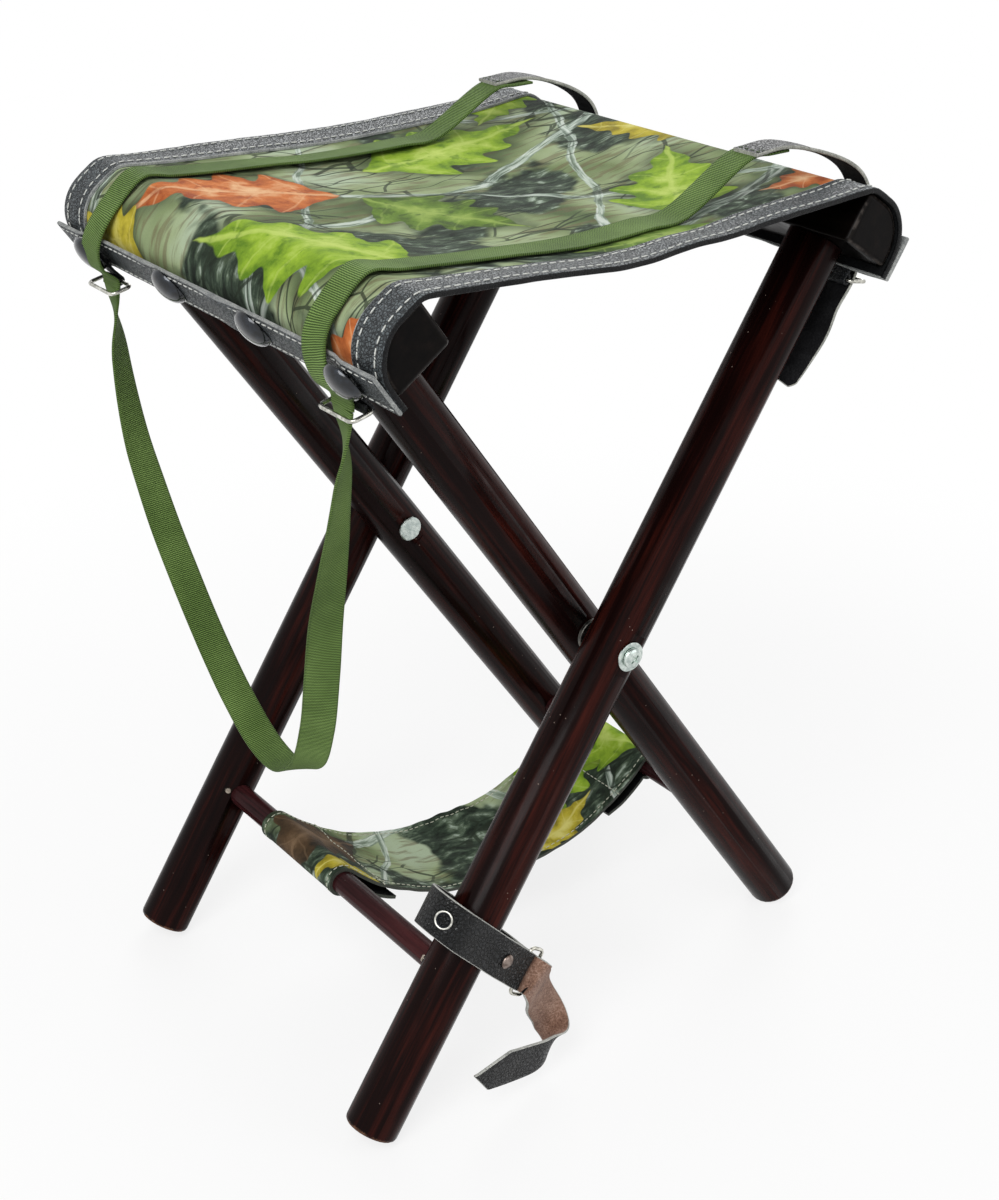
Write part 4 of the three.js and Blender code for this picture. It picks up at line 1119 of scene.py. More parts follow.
class Repeater:
    """A geometry nodes tree that sets one item at every point, or along every line, of a mesh."""

    def __init__(self, along: bool) -> None:
        """Build the tree.

        Args:
            along: True spaces the items along lines, False sets one at each point, which faces as the
                point's "facing" attribute says.
        """
        self.along = along
        name = "items_along_lines" if along else "items_at_points"
        tree = bpy.data.node_groups.new(name, "GeometryNodeTree")
        self.keys = {}
        for label, kind in (("Geometry", "Geometry"), ("Item", "Object"), ("Pitch", "Float"),
                            ("Finish", "Material")):
            made = tree.interface.new_socket(label, in_out="INPUT", socket_type=f"NodeSocket{kind}")
            self.keys[label] = made.identifier
        tree.interface.new_socket("Geometry", in_out="OUTPUT", socket_type="NodeSocketGeometry")
        m = Mixer(tree)
        given = m.node("NodeGroupInput").outputs
        if along:
            curve = m.node("GeometryNodeMeshToCurve", {"Mesh": given["Geometry"]}).outputs[0]
            spots = m.node("GeometryNodeResampleCurve", {"Curve": curve, "Length": given["Pitch"]},
                           mode="LENGTH").outputs[0]
            facing = m.node("GeometryNodeInputTangent").outputs[0]
        else:
            spots = given["Geometry"]
            facing = m.node("GeometryNodeInputNamedAttribute", {"Name": "facing"},
                            data_type="FLOAT_VECTOR").outputs["Attribute"]
        turn = m.node("FunctionNodeAlignRotationToVector", {"Vector": facing}, axis="Z").outputs[0]
        item = m.node("GeometryNodeObjectInfo", {"Object": given["Item"]}, transform_space="ORIGINAL")
        setting = {"Points": spots, "Instance": item.outputs["Geometry"], "Rotation": turn}
        placed = m.node("GeometryNodeInstanceOnPoints", setting).outputs[0]
        real = m.node("GeometryNodeRealizeInstances", {"Geometry": placed}).outputs[0]
        done = m.node("GeometryNodeSetMaterial", {"Geometry": real, "Material": given["Finish"]}).outputs[0]
        m.node("NodeGroupOutput", {"Geometry": done})
        self.tree = tree

    def run(self, name: str, lines: Sequence[Array], item: Piece, finish: Material,
            pitch: float = 6.0, facing: Sequence[Array] = ()) -> Piece:
        """Set items along lines, or at points, and make the result one plain mesh.

        Args:
            name: the piece's name.
            lines: the lines, or one array of points, in millimetres.
            item: the item, standing on Z at the origin.
            finish: the material.
            pitch: the distance between items along a line, in millimetres.
            facing: the direction of each point, where the items are set at points.

        Returns:
            The new piece.
        """
        mesh = bpy.data.meshes.new(name)
        points, edges = [], []
        for line in lines:
            first = len(points)
            points += (np.asarray(line) * MM).tolist()
            if self.along:
                edges += [(first + i, first + i + 1) for i in range(len(line) - 1)]
        mesh.from_pydata(points, edges, [])
        if not self.along:
            layer = mesh.attributes.new("facing", "FLOAT_VECTOR", "POINT")
            layer.data.foreach_set("vector", np.asarray(facing, np.float32).ravel())
        piece = in_scene(name, mesh)
        repeat = piece.modifiers.new("repeat", "NODES")
        repeat.node_group = self.tree
        repeat[self.keys["Item"]] = item
        repeat[self.keys["Pitch"]] = pitch * MM
        repeat[self.keys["Finish"]] = finish
        settle(piece)
        piece.data.shade_smooth()
        return piece


def stitch_item(length: float, thick: float) -> Piece:
    """Make one stitch, a short spindle lying along Z, with sizes in millimetres."""
    profile = [(0, -length / 2), (thick * 0.42, -length * 0.43), (thick / 2, -length * 0.2),
               (thick / 2, length * 0.2), (thick * 0.42, length * 0.43), (0, length / 2)]
    return turned("stitch_item", profile, None, Matrix.Identity(4), sides=6, sharp=80)


def done(piece: Piece, moves: str | tuple[float, float], slot: str, *nodes: str) -> None:
    """Let a finished piece move, stand for its nodes, and report it.

    Args:
        piece: the finished piece.
        moves: the body that it rides on, or the places along X, in metres, between which it would bend from
            the outer frame to the inner one; these are not read, and the piece keeps its place.
        slot: the record's material slot; not used.
        nodes: the nodes of the frame that it stands for.
    """
    if isinstance(moves, str):
        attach(piece, moves)
    else:
        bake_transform(piece)
    if nodes:
        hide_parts(*nodes)
    log.info("%s: %d faces", piece.name, len(piece.data.polygons))


@dataclass
class Frames:
    """The crossed wooden frames: legs, rails, rungs and the small nails that pin the rungs."""

    edge_round: float = 1.8

    def build(self) -> None:
        """Build and dress both frames."""
        pin = Metal("pin_steel", ("6e665e", "a79d90"), 0.38).make()
        for side in Side:
            leg = LegLacquer(side).make()
            for end in End:
                node = f"{side.label}_leg_{end.label}"
                done(from_node(f"turned_{node}", node, leg), side.body, "dark_wood", node)
                node = f"{side.label}_rung_pin_{end.label}"
                done(from_node(f"driven_{node}", node, pin), side.body, "zinc", node)
            node = f"{side.label}_rung"
            rung = LegLacquer(side, True, "1c0c0d", "36191b", "4d2526").make()
            done(from_node(f"turned_{node}", node, rung), side.body, "dark_wood", node)
            node = f"{side.label}_rail"
            rail = from_node(f"sawn_{node}", node, RailLacquer(side).make(), 30.0, self.edge_round)
            done(rail, side.body, "black_wood", node)


@dataclass
class Pivots:
    """The pivot screws with their washers, spacers and slotted sleeve nuts."""

    outside: float = 152.6
    inside: float = 82.9
    # Diameters and thicknesses, and for the spacer its place along the pivot too
    washer: tuple[float, float] = (19.0, 1.4)
    head: tuple[float, float] = (13.0, 3.4)
    disc: tuple[float, float] = (17.0, 2.2)
    spacer: tuple[float, float, float] = (22.0, 2.7, 116.4)
    bore: float = 5.3
    recess: tuple[float, float, float] = (6.6, 1.25, 2.9)
    slot: tuple[float, float, float] = (22.0, 1.5, 2.2)

    def build(self) -> None:
        """Build and dress the fasteners at both ends."""
        plate = Metal("zinc_plate", ("a9b4b0", "d6dfd9"), 0.24).make()
        dull = Metal("spacer_steel", ("4c4c4a", "77756f"), 0.45).make()
        for end in End:
            outwards = Matrix.Rotation(-end.value * math.pi / 2, 4, "X")
            place = Matrix.Translation((0, 0, PIVOT_HEIGHT * MM)) @ outwards
            self.washer_ring(end, place, plate)
            self.screw(end, place, plate)
            self.nut(end, place, plate)
            r, t, at = self.spacer[0] / 2, self.spacer[1], self.spacer[2]
            ring = [(self.bore, at), (r - 0.3, at), (r, at + 0.3), (r, at + t - 0.3), (r - 0.3, at + t),
                    (self.bore, at + t), (self.bore, at)]
            piece = turned(f"spacer_ring_{end.label}", ring, dull, place, 64)
            done(piece, Side.OUTER.body, "zinc", f"pivot_spacer_{end.label}")

    def washer_ring(self, end: End, place: Matrix, finish: Material) -> None:
        """Build the washer under the screw's head.

        Args:
            end: the end of the stool.
            place: carries the upright piece, in metres, to its place.
            finish: the piece's material.
        """
        r, t, at = self.washer[0] / 2, self.washer[1], self.outside + FIT
        ring = [(3.3, at), (r - 0.25, at), (r, at + 0.3), (r - 0.05, at + t - 0.45), (r - 0.5, at + t),
                (3.3, at + t), (3.3, at)]
        done(turned(f"plated_washer_{end.label}", ring, finish, place, 72), Side.OUTER.body, "zinc",
             f"pivot_washer_{end.label}")

    def screw(self, end: End, place: Matrix, finish: Material) -> None:
        """Build the pan-head screw with its cross recess.

        Args:
            end: the end of the stool.
            place: carries the upright piece, in metres, to its place.
            finish: the piece's material.
        """
        r, h = self.head[0] / 2, self.head[1]
        at = self.outside + 2 * FIT + self.washer[1]
        round_over = [(r * math.cos(t) ** 0.8, at + h * (0.36 + 0.64 * math.sin(t)))
                      for t in (i * math.pi / 16 for i in range(8))]
        profile = [(0, at - 26), (2.6, at - 26), (3, at - 25.4), (3, at), (r - 0.2, at), (r, at + 0.2),
                   *round_over, (0, at + h)]
        piece = turned(f"cross_head_screw_{end.label}", profile, finish, place, 64, 30)
        top = place @ Matrix.Translation((0, 0, (at + h) * MM)) @ Matrix.Rotation(math.pi / 5, 4, "Z")
        long, wide, deep = self.recess
        arms = [block((long, wide, deep), top), block((wide, long, deep), top),
                turned("tool", [(0, -2.3), (1.5, -1.1), (1.9, 1), (0, 1)], finish, top, 4)]
        carve(piece, arms)
        done(piece, Side.OUTER.body, "zinc", f"pivot_screw_{end.label}")

    def nut(self, end: End, place: Matrix, finish: Material) -> None:
        """Build the sleeve nut, whose slotted disc lies inside the inner leg.

        Args:
            end: the end of the stool.
            place: carries the upright piece, in metres, to its place.
            finish: the piece's material.
        """
        r, t = self.disc[0] / 2, self.disc[1]
        seat = self.inside - FIT
        profile = [(0, seat - t), (r - 0.7, seat - t), (r, seat - t + 0.6), (r, seat), (5, seat),
                   (5, self.outside - FIT), (0, self.outside - FIT)]
        piece = turned(f"slotted_nut_{end.label}", profile, finish, place, 64, 30)
        slot_at = place @ Matrix.Translation((0, 0, (seat - t) * MM)) @ Matrix.Rotation(math.pi / 6, 4, "Z")
        carve(piece, [block(self.slot, slot_at)])
        done(piece, Side.OUTER.body, "zinc", f"pivot_nut_{end.label}")


@dataclass
class SeatRun:
    """The run that every seat layer follows: up one rail, over it, across the span and down the other.

    Each layer lies at its own height over the wood, and all of them share the same folds.
    """

    rail_inner: float = 17.5
    rail_outer: float = 22.5
    rail_top: float = 306.0
    rail_round: float = 24.0
    half_width: float = 175.4
    edge_sag: float = 8.0
    middle_sag: float = 17.0
    draped: float = 165.0
    pulled: float = 150.0

    def stations(self, bottom: float) -> tuple[Array, Array]:
        """List the run's places at the edge of the sag.

        Args:
            bottom: how far up the rails' outer faces the layer starts.

        Returns:
            The places, and how much of the sag each takes.
        """
        half = []
        low = self.rail_top - self.rail_round
        for up in np.linspace(bottom, low, 5)[:-1]:
            half.append(frame_point(1, self.rail_outer, up))
        for t in np.linspace(0, math.pi / 2, 15):
            half.append(frame_point(1, self.rail_outer - self.rail_round * (1 - math.cos(t)),
                                    low + self.rail_round * math.sin(t)))
        for out in np.linspace(self.rail_outer - self.rail_round, -self.rail_inner, 7)[1:-1]:
            half.append(frame_point(1, out, self.rail_top))
        corner = frame_point(1, -self.rail_inner, self.rail_top)
        sag = [0.0] * len(half)
        shares = np.linspace(1, -1, 107)
        span = [np.array([s * corner[0], 0, corner[2]]) for s in shares]
        mirrored = [p * np.array([-1, 1, 1]) for p in reversed(half)]
        return np.array(half + span + mirrored), np.array(sag + [1 - s * s for s in shares] + sag)

    def over_rail(self, side: int, height: float, turn: float, y: float) -> Array:
        """Place a point over a rail's rounded edge.

        Args:
            side: 1 for the outer frame's rail, -1 for the inner one's.
            height: how high it lies over the wood.
            turn: the angle from the outer face, in radians.
            y: distance along the rail.

        Returns:
            The point in millimetres.
        """
        reach = self.rail_round + height
        out = self.rail_outer - self.rail_round + reach * math.cos(turn)
        return frame_point(side, out, self.rail_top - self.rail_round + reach * math.sin(turn), y)

    def sag_at(self, y: Array) -> Array:
        """How far the middle of the span hangs at a distance along the rails."""
        share = np.minimum(np.abs(y) / self.half_width, 1)
        return self.middle_sag + (self.edge_sag - self.middle_sag) * share ** 2

    def folds(self, x: Array, y: Array) -> Array:
        """The small folds and the uneven edges of the stretched seat.

        Args:
            x: the first coordinates, in millimetres.
            y: the second coordinates, in millimetres.

        Returns:
            A height for each point.
        """
        reach = np.clip(1 - (x / CORNER_X) ** 2, 0, 1) ** 0.6
        near, far = hump(y, -176, 52), hump(y, 176, 70)
        edges = near * (-2.6 * hump(x, -24, 32) + 2.2 * hump(x, 92, 36) + 1.6 * hump(x, -106, 30)
                        + 0.7 * hump(x, 22, 14) - 0.6 * hump(x, 48, 16))
        edges += far * (3.4 * hump(x, -70, 70) + 1.2 * hump(x, 50, 50))
        middle = np.clip(1 - (y / self.draped) ** 2, 0, 1)
        drape = 1.5 * waves(x, y, 3, 120) + 0.7 * waves(x, y, 8, 52) + 0.25 * waves(x, y, 15, 21)
        pull = 0.9 * np.sin((y + 0.32 * (x + self.pulled)) / 13.5) * hump(x, -158, 62)
        pull += 0.8 * np.sin((y - 0.28 * (x - self.pulled)) / 15.5 + 1.2) * hump(x, 158, 58)
        return reach * (edges + middle * (drape + pull))

    def surface(self, ys: Array, bottom: float) -> tuple[Array, Array, Array]:
        """Work out the wood side of the seat.

        Args:
            ys: distances along the rails.
            bottom: how far up the rails' outer faces the layer starts.

        Returns:
            Places (stations, ys, 3), unit normals of the same shape, and the run's length at each station.
        """
        base, sag = self.stations(bottom)
        grid = np.repeat(base[:, None, :], len(ys), axis=1)
        grid[:, :, 1] = ys[None, :]
        grid[:, :, 2] -= sag[:, None] * self.sag_at(ys)[None, :]
        grid[:, :, 2] += self.folds(grid[:, :, 0], grid[:, :, 1])
        for _ in range(3):
            grid[1:-1] = (grid[:-2] + 2 * grid[1:-1] + grid[2:]) / 4
        along = unit(np.gradient(grid, axis=0) * np.array([1, 0, 1]))
        normal = np.stack([along[..., 2], np.zeros_like(along[..., 0]), -along[..., 0]], axis=-1)
        return grid, normal, lengths_along(base)


@dataclass
class Seat:
    """The cloth seat with its leather bindings, nailed leather strips and domed nails."""

    run: SeatRun = field(default_factory=SeatRun)
    cloth: float = 1.2
    cloth_bottom: float = 269.5
    binding: float = 1.6
    binding_inner: float = 149.3
    binding_outer: float = 177.3
    strip: float = 2.0
    strip_bottom: float = 268.5
    strip_height: float = 28.5
    strip_half: float = 177.0
    strip_low: float = 24.3
    strip_raised: float = 26.2
    # Where the strips rise on to the bindings, and how long the rise is
    rise_at: float = 137.3
    rise_length: float = 11.7
    # How far the rows of stitches lie inside the edges
    strip_rows: tuple[float, float] = (3.6, 3.8)
    binding_rows: tuple[float, float] = (5.2, 21.6)
    nail_up: float = 284.0
    nail_ys: tuple[float, ...] = (-143.0, -48.0, 48.0, 143.0)
    # How far out the nails stand on the strip's low part and on its raised ends
    nail_outs: tuple[float, float] = (26.6, 30.6)
    stitch_pitch: float = 6.1
    bend: tuple[float, float] = (0.185, -0.185)

    def build(self) -> None:
        """Build and dress the whole seat."""
        self.grey = Leather("grey_leather", ("1d2022", "41474a", "6a7376"), 520.0, 0.0005, 0.42, 0.6,
                            0.3).make()
        self.edge = CutEdge("grey_cut_edge", ("3c4044", "8a8d8c", "c9cac4")).make()
        # Near-black leather on the binding's folded edge and underside: partly dark leather, partly painted
        # shade under the edge
        self.black_fold = Leather("black_fold", ("050506", "0c0d0f", "17191b"), 760.0, 0.0001, 0.3, 0.4,
                                  0.16).make()
        self.thread = Thread("white_thread", ("a9aca8", "e8e9e3")).make()
        self.stitch = stitch_item(4.3, 0.95)
        self.rows = Repeater(along=True)
        self.build_cloth()
        for end in End:
            self.build_binding(end)
        for side in Side:
            self.build_strip(side)
        self.build_nails()

    def build_cloth(self) -> None:
        """Build the printed canvas."""
        ys = np.concatenate([[-self.run.half_width], np.linspace(-172.5, 172.5, 116), [self.run.half_width]])
        base, normal, length = self.run.surface(ys, self.cloth_bottom)
        low, high = base + normal * FIT, base + normal * (FIT + self.cloth)
        grid = np.concatenate([low, high[:, ::-1]], axis=1)
        plan = flat_plan(length, np.concatenate([ys, ys[::-1]]))
        n = len(ys)
        finish = WoodlandPrint("woodland_seat_cloth", SEAT_LEAVES, (0.05, 0.21), 0.45).make()
        back = CutEdge("black_cloth_back", ("060607", "0f1011", "1c1d1f"), 1100.0, 0.0).make()
        sides = [1] * n + [0] * (n - 1) + [1]
        piece = lofted("woven_seat_cloth", (finish, back), grid, plan, sides, 1, sharp=60)
        done(piece, self.bend, "camo_cloth", "seat_cloth")

    def build_binding(self, end: End) -> None:
        """Build one edge binding, folded down over the cloth's edge, with its two rows of stitches.

        Args:
            end: the end of the stool.
        """
        base_h, top_h = FIT * 2 + self.cloth, FIT * 2 + self.cloth + self.binding
        i, o = self.binding_inner, self.binding_outer
        across = [(i, base_h), (o - self.binding, base_h), (o - self.binding, FIT), (o - 0.5, FIT - 0.2),
                  (o, FIT + 0.3), (o, top_h - 0.9), (o - 0.35, top_h - 0.25), (o - 1.1, top_h),
                  (o - 6.5, top_h - 0.12), (o - 10, top_h + 0.06), (o - 14, top_h + 0.1),
                  (i + 8, top_h + 0.06), (i + 4.8, top_h - 0.12), (i + 1.2, top_h + 0.02),
                  (i + 0.2, top_h - 0.3)]
        ys = np.array([end.value * a for a, _ in across])
        heights = np.array([h for _, h in across])
        base, normal, length = self.run.surface(ys, self.strip_bottom)
        wobble = 0.45 * waves(length, 0.0, 21 + end.value, 34) + 0.5 * waves(length, 0.0, 5, 110)
        weight = np.clip((np.abs(ys) - i) / (o - i), 0, 1) ** 2 * 0.8 + 0.2 * (np.abs(ys) < i + 1)
        grid = base + normal * heights[None, :, None]
        grid[:, :, 1] += end.value * wobble[:, None] * weight[None, :]
        ripple = 0.12 * waves(length[:, None], ys[None, :], 31, 16)
        grid += normal * (ripple * (heights > top_h - 0.2))[:, :, None]
        if end is End.FAR:
            grid, ys = grid[:, ::-1], ys[::-1]
        plan = flat_plan(length, ys)
        sides = [1, 2, 2, 2, 2, 2, 0, 0, 0, 0, 0, 0, 0, 1, 1]
        if end is End.FAR:
            sides = sides[:-1][::-1] + [sides[-1]]
        finishes = (self.grey, self.edge, self.black_fold)
        piece = lofted(f"folded_binding_{end.label}", finishes, grid, plan, sides, 1)
        done(piece, self.bend, "grey_leather", f"seat_binding_{end.label}")
        lines = []
        for inset in self.binding_rows:
            row_y = np.array([end.value * (o - inset)])
            row, up, _ = self.run.surface(row_y, self.strip_bottom + self.strip_height + 1.5)
            line = (row + up * (top_h + 0.22))[:, 0]
            line[:, 1] += end.value * 0.5 * waves(line[:, 0], 0.0, 12 + int(inset), 55)
            lines.append(evenly(line, 1.5))
        stitches = self.rows.run(f"binding_stitches_{end.label}", lines, self.stitch, self.thread,
                                 self.stitch_pitch)
        done(stitches, self.bend, "grey_leather")

    def build_strip(self, side: Side) -> None:
        """Build the leather strip that is nailed over the end of the cloth, and its stitches.

        Args:
            side: the frame whose rail it lies on.
        """
        y = np.linspace(-self.strip_half, self.strip_half, 178)
        share = np.clip((np.abs(y) - self.rise_at) / self.rise_length, 0, 1)
        out = self.strip_low + (self.strip_raised - self.strip_low) * share ** 2 * (3 - 2 * share)
        pressed = sum(hump(y, n, 9) for n in self.nail_ys)
        out_mid = out + self.strip / 2
        low, high = self.strip_bottom, self.strip_bottom + self.strip_height
        t = self.strip / 2
        section = [(low + 0.4, -t), (low, -t * 0.4), (low, t * 0.5), (low + 0.7, t), (low + 7, t + 0.1),
                   (low + 14, t + 0.14), (high - 7, t + 0.1), (high - 0.7, t), (high, t * 0.5),
                   (high, -t * 0.4), (high - 0.4, -t)]
        ups = np.array([u for u, _ in section])
        wobble = 0.35 * waves(y, 0.0, 40 + side.value, 40)
        swell = 0.25 * waves(y, 0.0, 44 + side.value, 60) ** 2 * (1 - pressed).clip(0, 1)
        grid = np.zeros((len(y), len(section), 3))
        for j, (u, o) in enumerate(section):
            lift = wobble * (1 if u < low + 5 else -0.6 if u > high - 5 else 0)
            o_at = out_mid + o + (swell if o > 0 else 0)
            up = u + lift
            grid[:, j, 0] = side.value * (up * SIN + o_at * COS)
            grid[:, j, 1] = y
            grid[:, j, 2] = PIVOT_HEIGHT + up * COS - o_at * SIN
        plan = flat_plan(y, ups)
        sides = [1, 1, 1, 0, 0, 0, 0, 1, 1, 1, 1]
        piece = lofted(f"nailed_strip_{side.label}", (self.grey, self.edge), grid, plan, sides, 1)
        done(piece, side.body, "grey_leather", f"{side.label}_seat_strip")
        lines = []
        for up in (low + self.strip_rows[0], high - self.strip_rows[1]):
            keep = np.abs(y) < self.strip_half - 2
            line = np.array([frame_point(side.value, o + self.strip / 2 + t + 0.2, up, v)
                             for o, v in zip(out[keep], y[keep])])
            lines.append(line)
        stitches = self.rows.run(f"strip_stitches_{side.label}", lines, self.stitch, self.thread,
                                 self.stitch_pitch)
        done(stitches, side.body, "grey_leather")

    def build_nails(self) -> None:
        """Set the domed nails in both rails."""
        finish = Metal("black_nail", ("0d1014", "1d232b"), 0.2, 0.75, 0.7).make()
        profile = [(0, -18), (1.5, -15), (1.5, 0.2), (11.8, 0.2), (12.2, -0.1), (12.9, 0.0), (13.0, 0.35),
                   *dome(12.6, 0.5, 6.7, 28), (0, 7.2)]
        item = turned("nail_item", profile, finish, Matrix.Identity(4), 48, 50)
        points = Repeater(along=False)
        for side in Side:
            for k, y in enumerate(self.nail_ys):
                out = self.nail_outs[abs(y) > 100]
                spot = frame_point(side.value, out, self.nail_up, y)
                facing = unit(frame_point(side.value, 1, 0) - frame_point(side.value, 0, 0))
                node = f"{side.label}_seat_nail_{k + 1}"
                piece = points.run(f"domed_{node}", [[spot]], item, finish, facing=[facing])
                smooth(piece.data, 50)
                done(piece, side.body, "black_nail", node)


def ribbon(name: str, route: Array, wide: Array, width: float, thick: float,
           finishes: Sequence[Material], across: tuple[Array, Array] | None = None,
           cup: Array | float = 0.0, mirrored: Callable[[Array], Array] | None = None) -> Piece:
    """Lay a flat strap with softly rounded edges along a route.

    Args:
        name: the piece's name.
        route: evenly spaced places of the strap's middle, in millimetres.
        wide: the wanted direction of its width at each place.
        width: its width in millimetres.
        thick: its thickness in millimetres.
        finishes: the materials of its front, its edges and its back.
        across: how far it reaches to either side at each place, where that varies.
        cup: how far its edges curl to the front, in millimetres.
        mirrored: carries the finished points to another place.

    Returns:
        The new object.
    """
    along = tangents(route)
    wide = unit(wide - (wide * along).sum(1, keepdims=True) * along)
    front = np.cross(along, wide)
    n = len(route)
    left, right = across if across else (np.full(n, width / 2), np.full(n, width / 2))
    t = thick / 2
    shares = np.linspace(-1, 1, 9)
    top = [(s, t) for s in shares]
    under = [(s, -t) for s in shares[::-1]]
    section = [(-1, -0.5 * t), (-1, 0.5 * t), *top, (1, 0.5 * t), (1, -0.5 * t), *under]
    sides = [1, 1, *([0] * 8), 1, 1, 1, *([2] * 8), 1]
    grid = np.zeros((n, len(section), 3))
    plan = np.zeros((n, len(section), 2))
    run = lengths_along(route)
    curl = np.broadcast_to(np.asarray(cup, float), (n,))
    for j, (s, o) in enumerate(section):
        reach = np.where(s < 0, left, right) * s
        if abs(s) == 1 and abs(o) == t:
            reach = reach - np.sign(s) * 0.45 * t
        lift = o + curl * s * s
        grid[:, j] = route + wide * reach[:, None] + front * lift[:, None]
        plan[:, j, 0], plan[:, j, 1] = run, reach
    if mirrored:
        grid = mirrored(grid)
    return lofted(name, finishes, grid, plan, sides, 1)


def wire_loop(name: str, length: float, depth: float, wire: float, corner: float,
              finish: Material, to_place: Callable[[Array], Array]) -> Piece:
    """Bend round wire to a rectangle with round corners, one bar on x = 0.

    Args:
        name: the piece's name.
        length: its size along Y, in millimetres.
        depth: its size along X, in millimetres.
        wire: the wire's diameter.
        corner: the bend's radius at the wire's middle.
        finish: the material.
        to_place: carries flat points to their place.

    Returns:
        The new object.
    """
    half, reach = (length - wire) / 2, depth - wire
    corners = ((reach - corner, half - corner, 0), (corner, half - corner, 1), (corner, corner - half, 2),
               (reach - corner, corner - half, 3))
    quarter = math.pi / 2
    points = [p for x, y, k in corners for p in arc(x, y, corner, k * quarter, (k + 1) * quarter, 7)]
    closed = evenly(np.array([(*p, 0.0) for p in points + points[:1]]), 1.6)[:-1]
    ahead = unit(np.roll(closed, -1, axis=0) - np.roll(closed, 1, axis=0))
    outward = np.stack([ahead[:, 1], -ahead[:, 0], ahead[:, 0] * 0], axis=1)
    turns = [2 * math.pi * k / 16 for k in range(16)]
    upward = np.array([0, 0, 1])
    rounds = [closed + wire / 2 * (outward * math.cos(t) + upward * math.sin(t)) for t in turns]
    grid = np.stack(rounds, axis=1)
    return lofted(name, (finish,), to_place(grid), grid[..., :2], [0] * 16, closed_route=True, sharp=60)


@dataclass
class Rings:
    """The four wire rings at the ends of the rails, in their leather tabs."""

    wire: float = 2.5
    length: float = 34.0
    depth: float = 16.0
    corner: float = 3.0
    out: float = 30.5
    up: float = 262.5
    y: float = 134.0
    drop: float = math.radians(12)

    def window(self, side: int, y: float) -> Array:
        """The middle of a ring's window, where the webbing or strap goes through."""
        reach = (self.depth - self.wire) / 2
        return frame_point(side, self.out, self.up, y) + np.array(
            [side * reach * math.cos(self.drop), 0, -reach * math.sin(self.drop)])

    def build(self) -> None:
        """Build and dress the rings and their tabs."""
        bright = Metal("ring_plate", ("9b9a92", "e0dfd6"), 0.22).make()
        tab = Leather("tab_leather", ("0a0b0d", "16181b", "2c3035"), 600.0, 0.0004, 0.45).make()
        c, s = math.cos(self.drop), math.sin(self.drop)
        for side in Side:
            for end in End:
                pivot = frame_point(side.value, self.out, self.up, end.value * self.y)

                def to_place(grid: Array, side: Side = side, pivot: Array = pivot) -> Array:
                    """Hang flat points, turned down by the ring's drop, at its pivot."""
                    x, y, z = grid[..., 0], grid[..., 1], grid[..., 2]
                    return np.stack([side.value * (x * c + z * s), y, z * c - x * s], axis=-1) + pivot

                outer = side is Side.OUTER
                node = f"{'carry_buckle' if outer else 'loop_ring'}_{end.label}"
                ring = wire_loop(f"bent_{node}", self.length, self.depth, self.wire, self.corner, bright,
                                 to_place)
                done(ring, side.body if outer else "carry_loop", "zinc", node)
                node = f"{side.label}_tab_{end.label}"
                done(from_node(f"folded_{node}", node, tab, 40, 0.35), side.body, "black_leather", node)


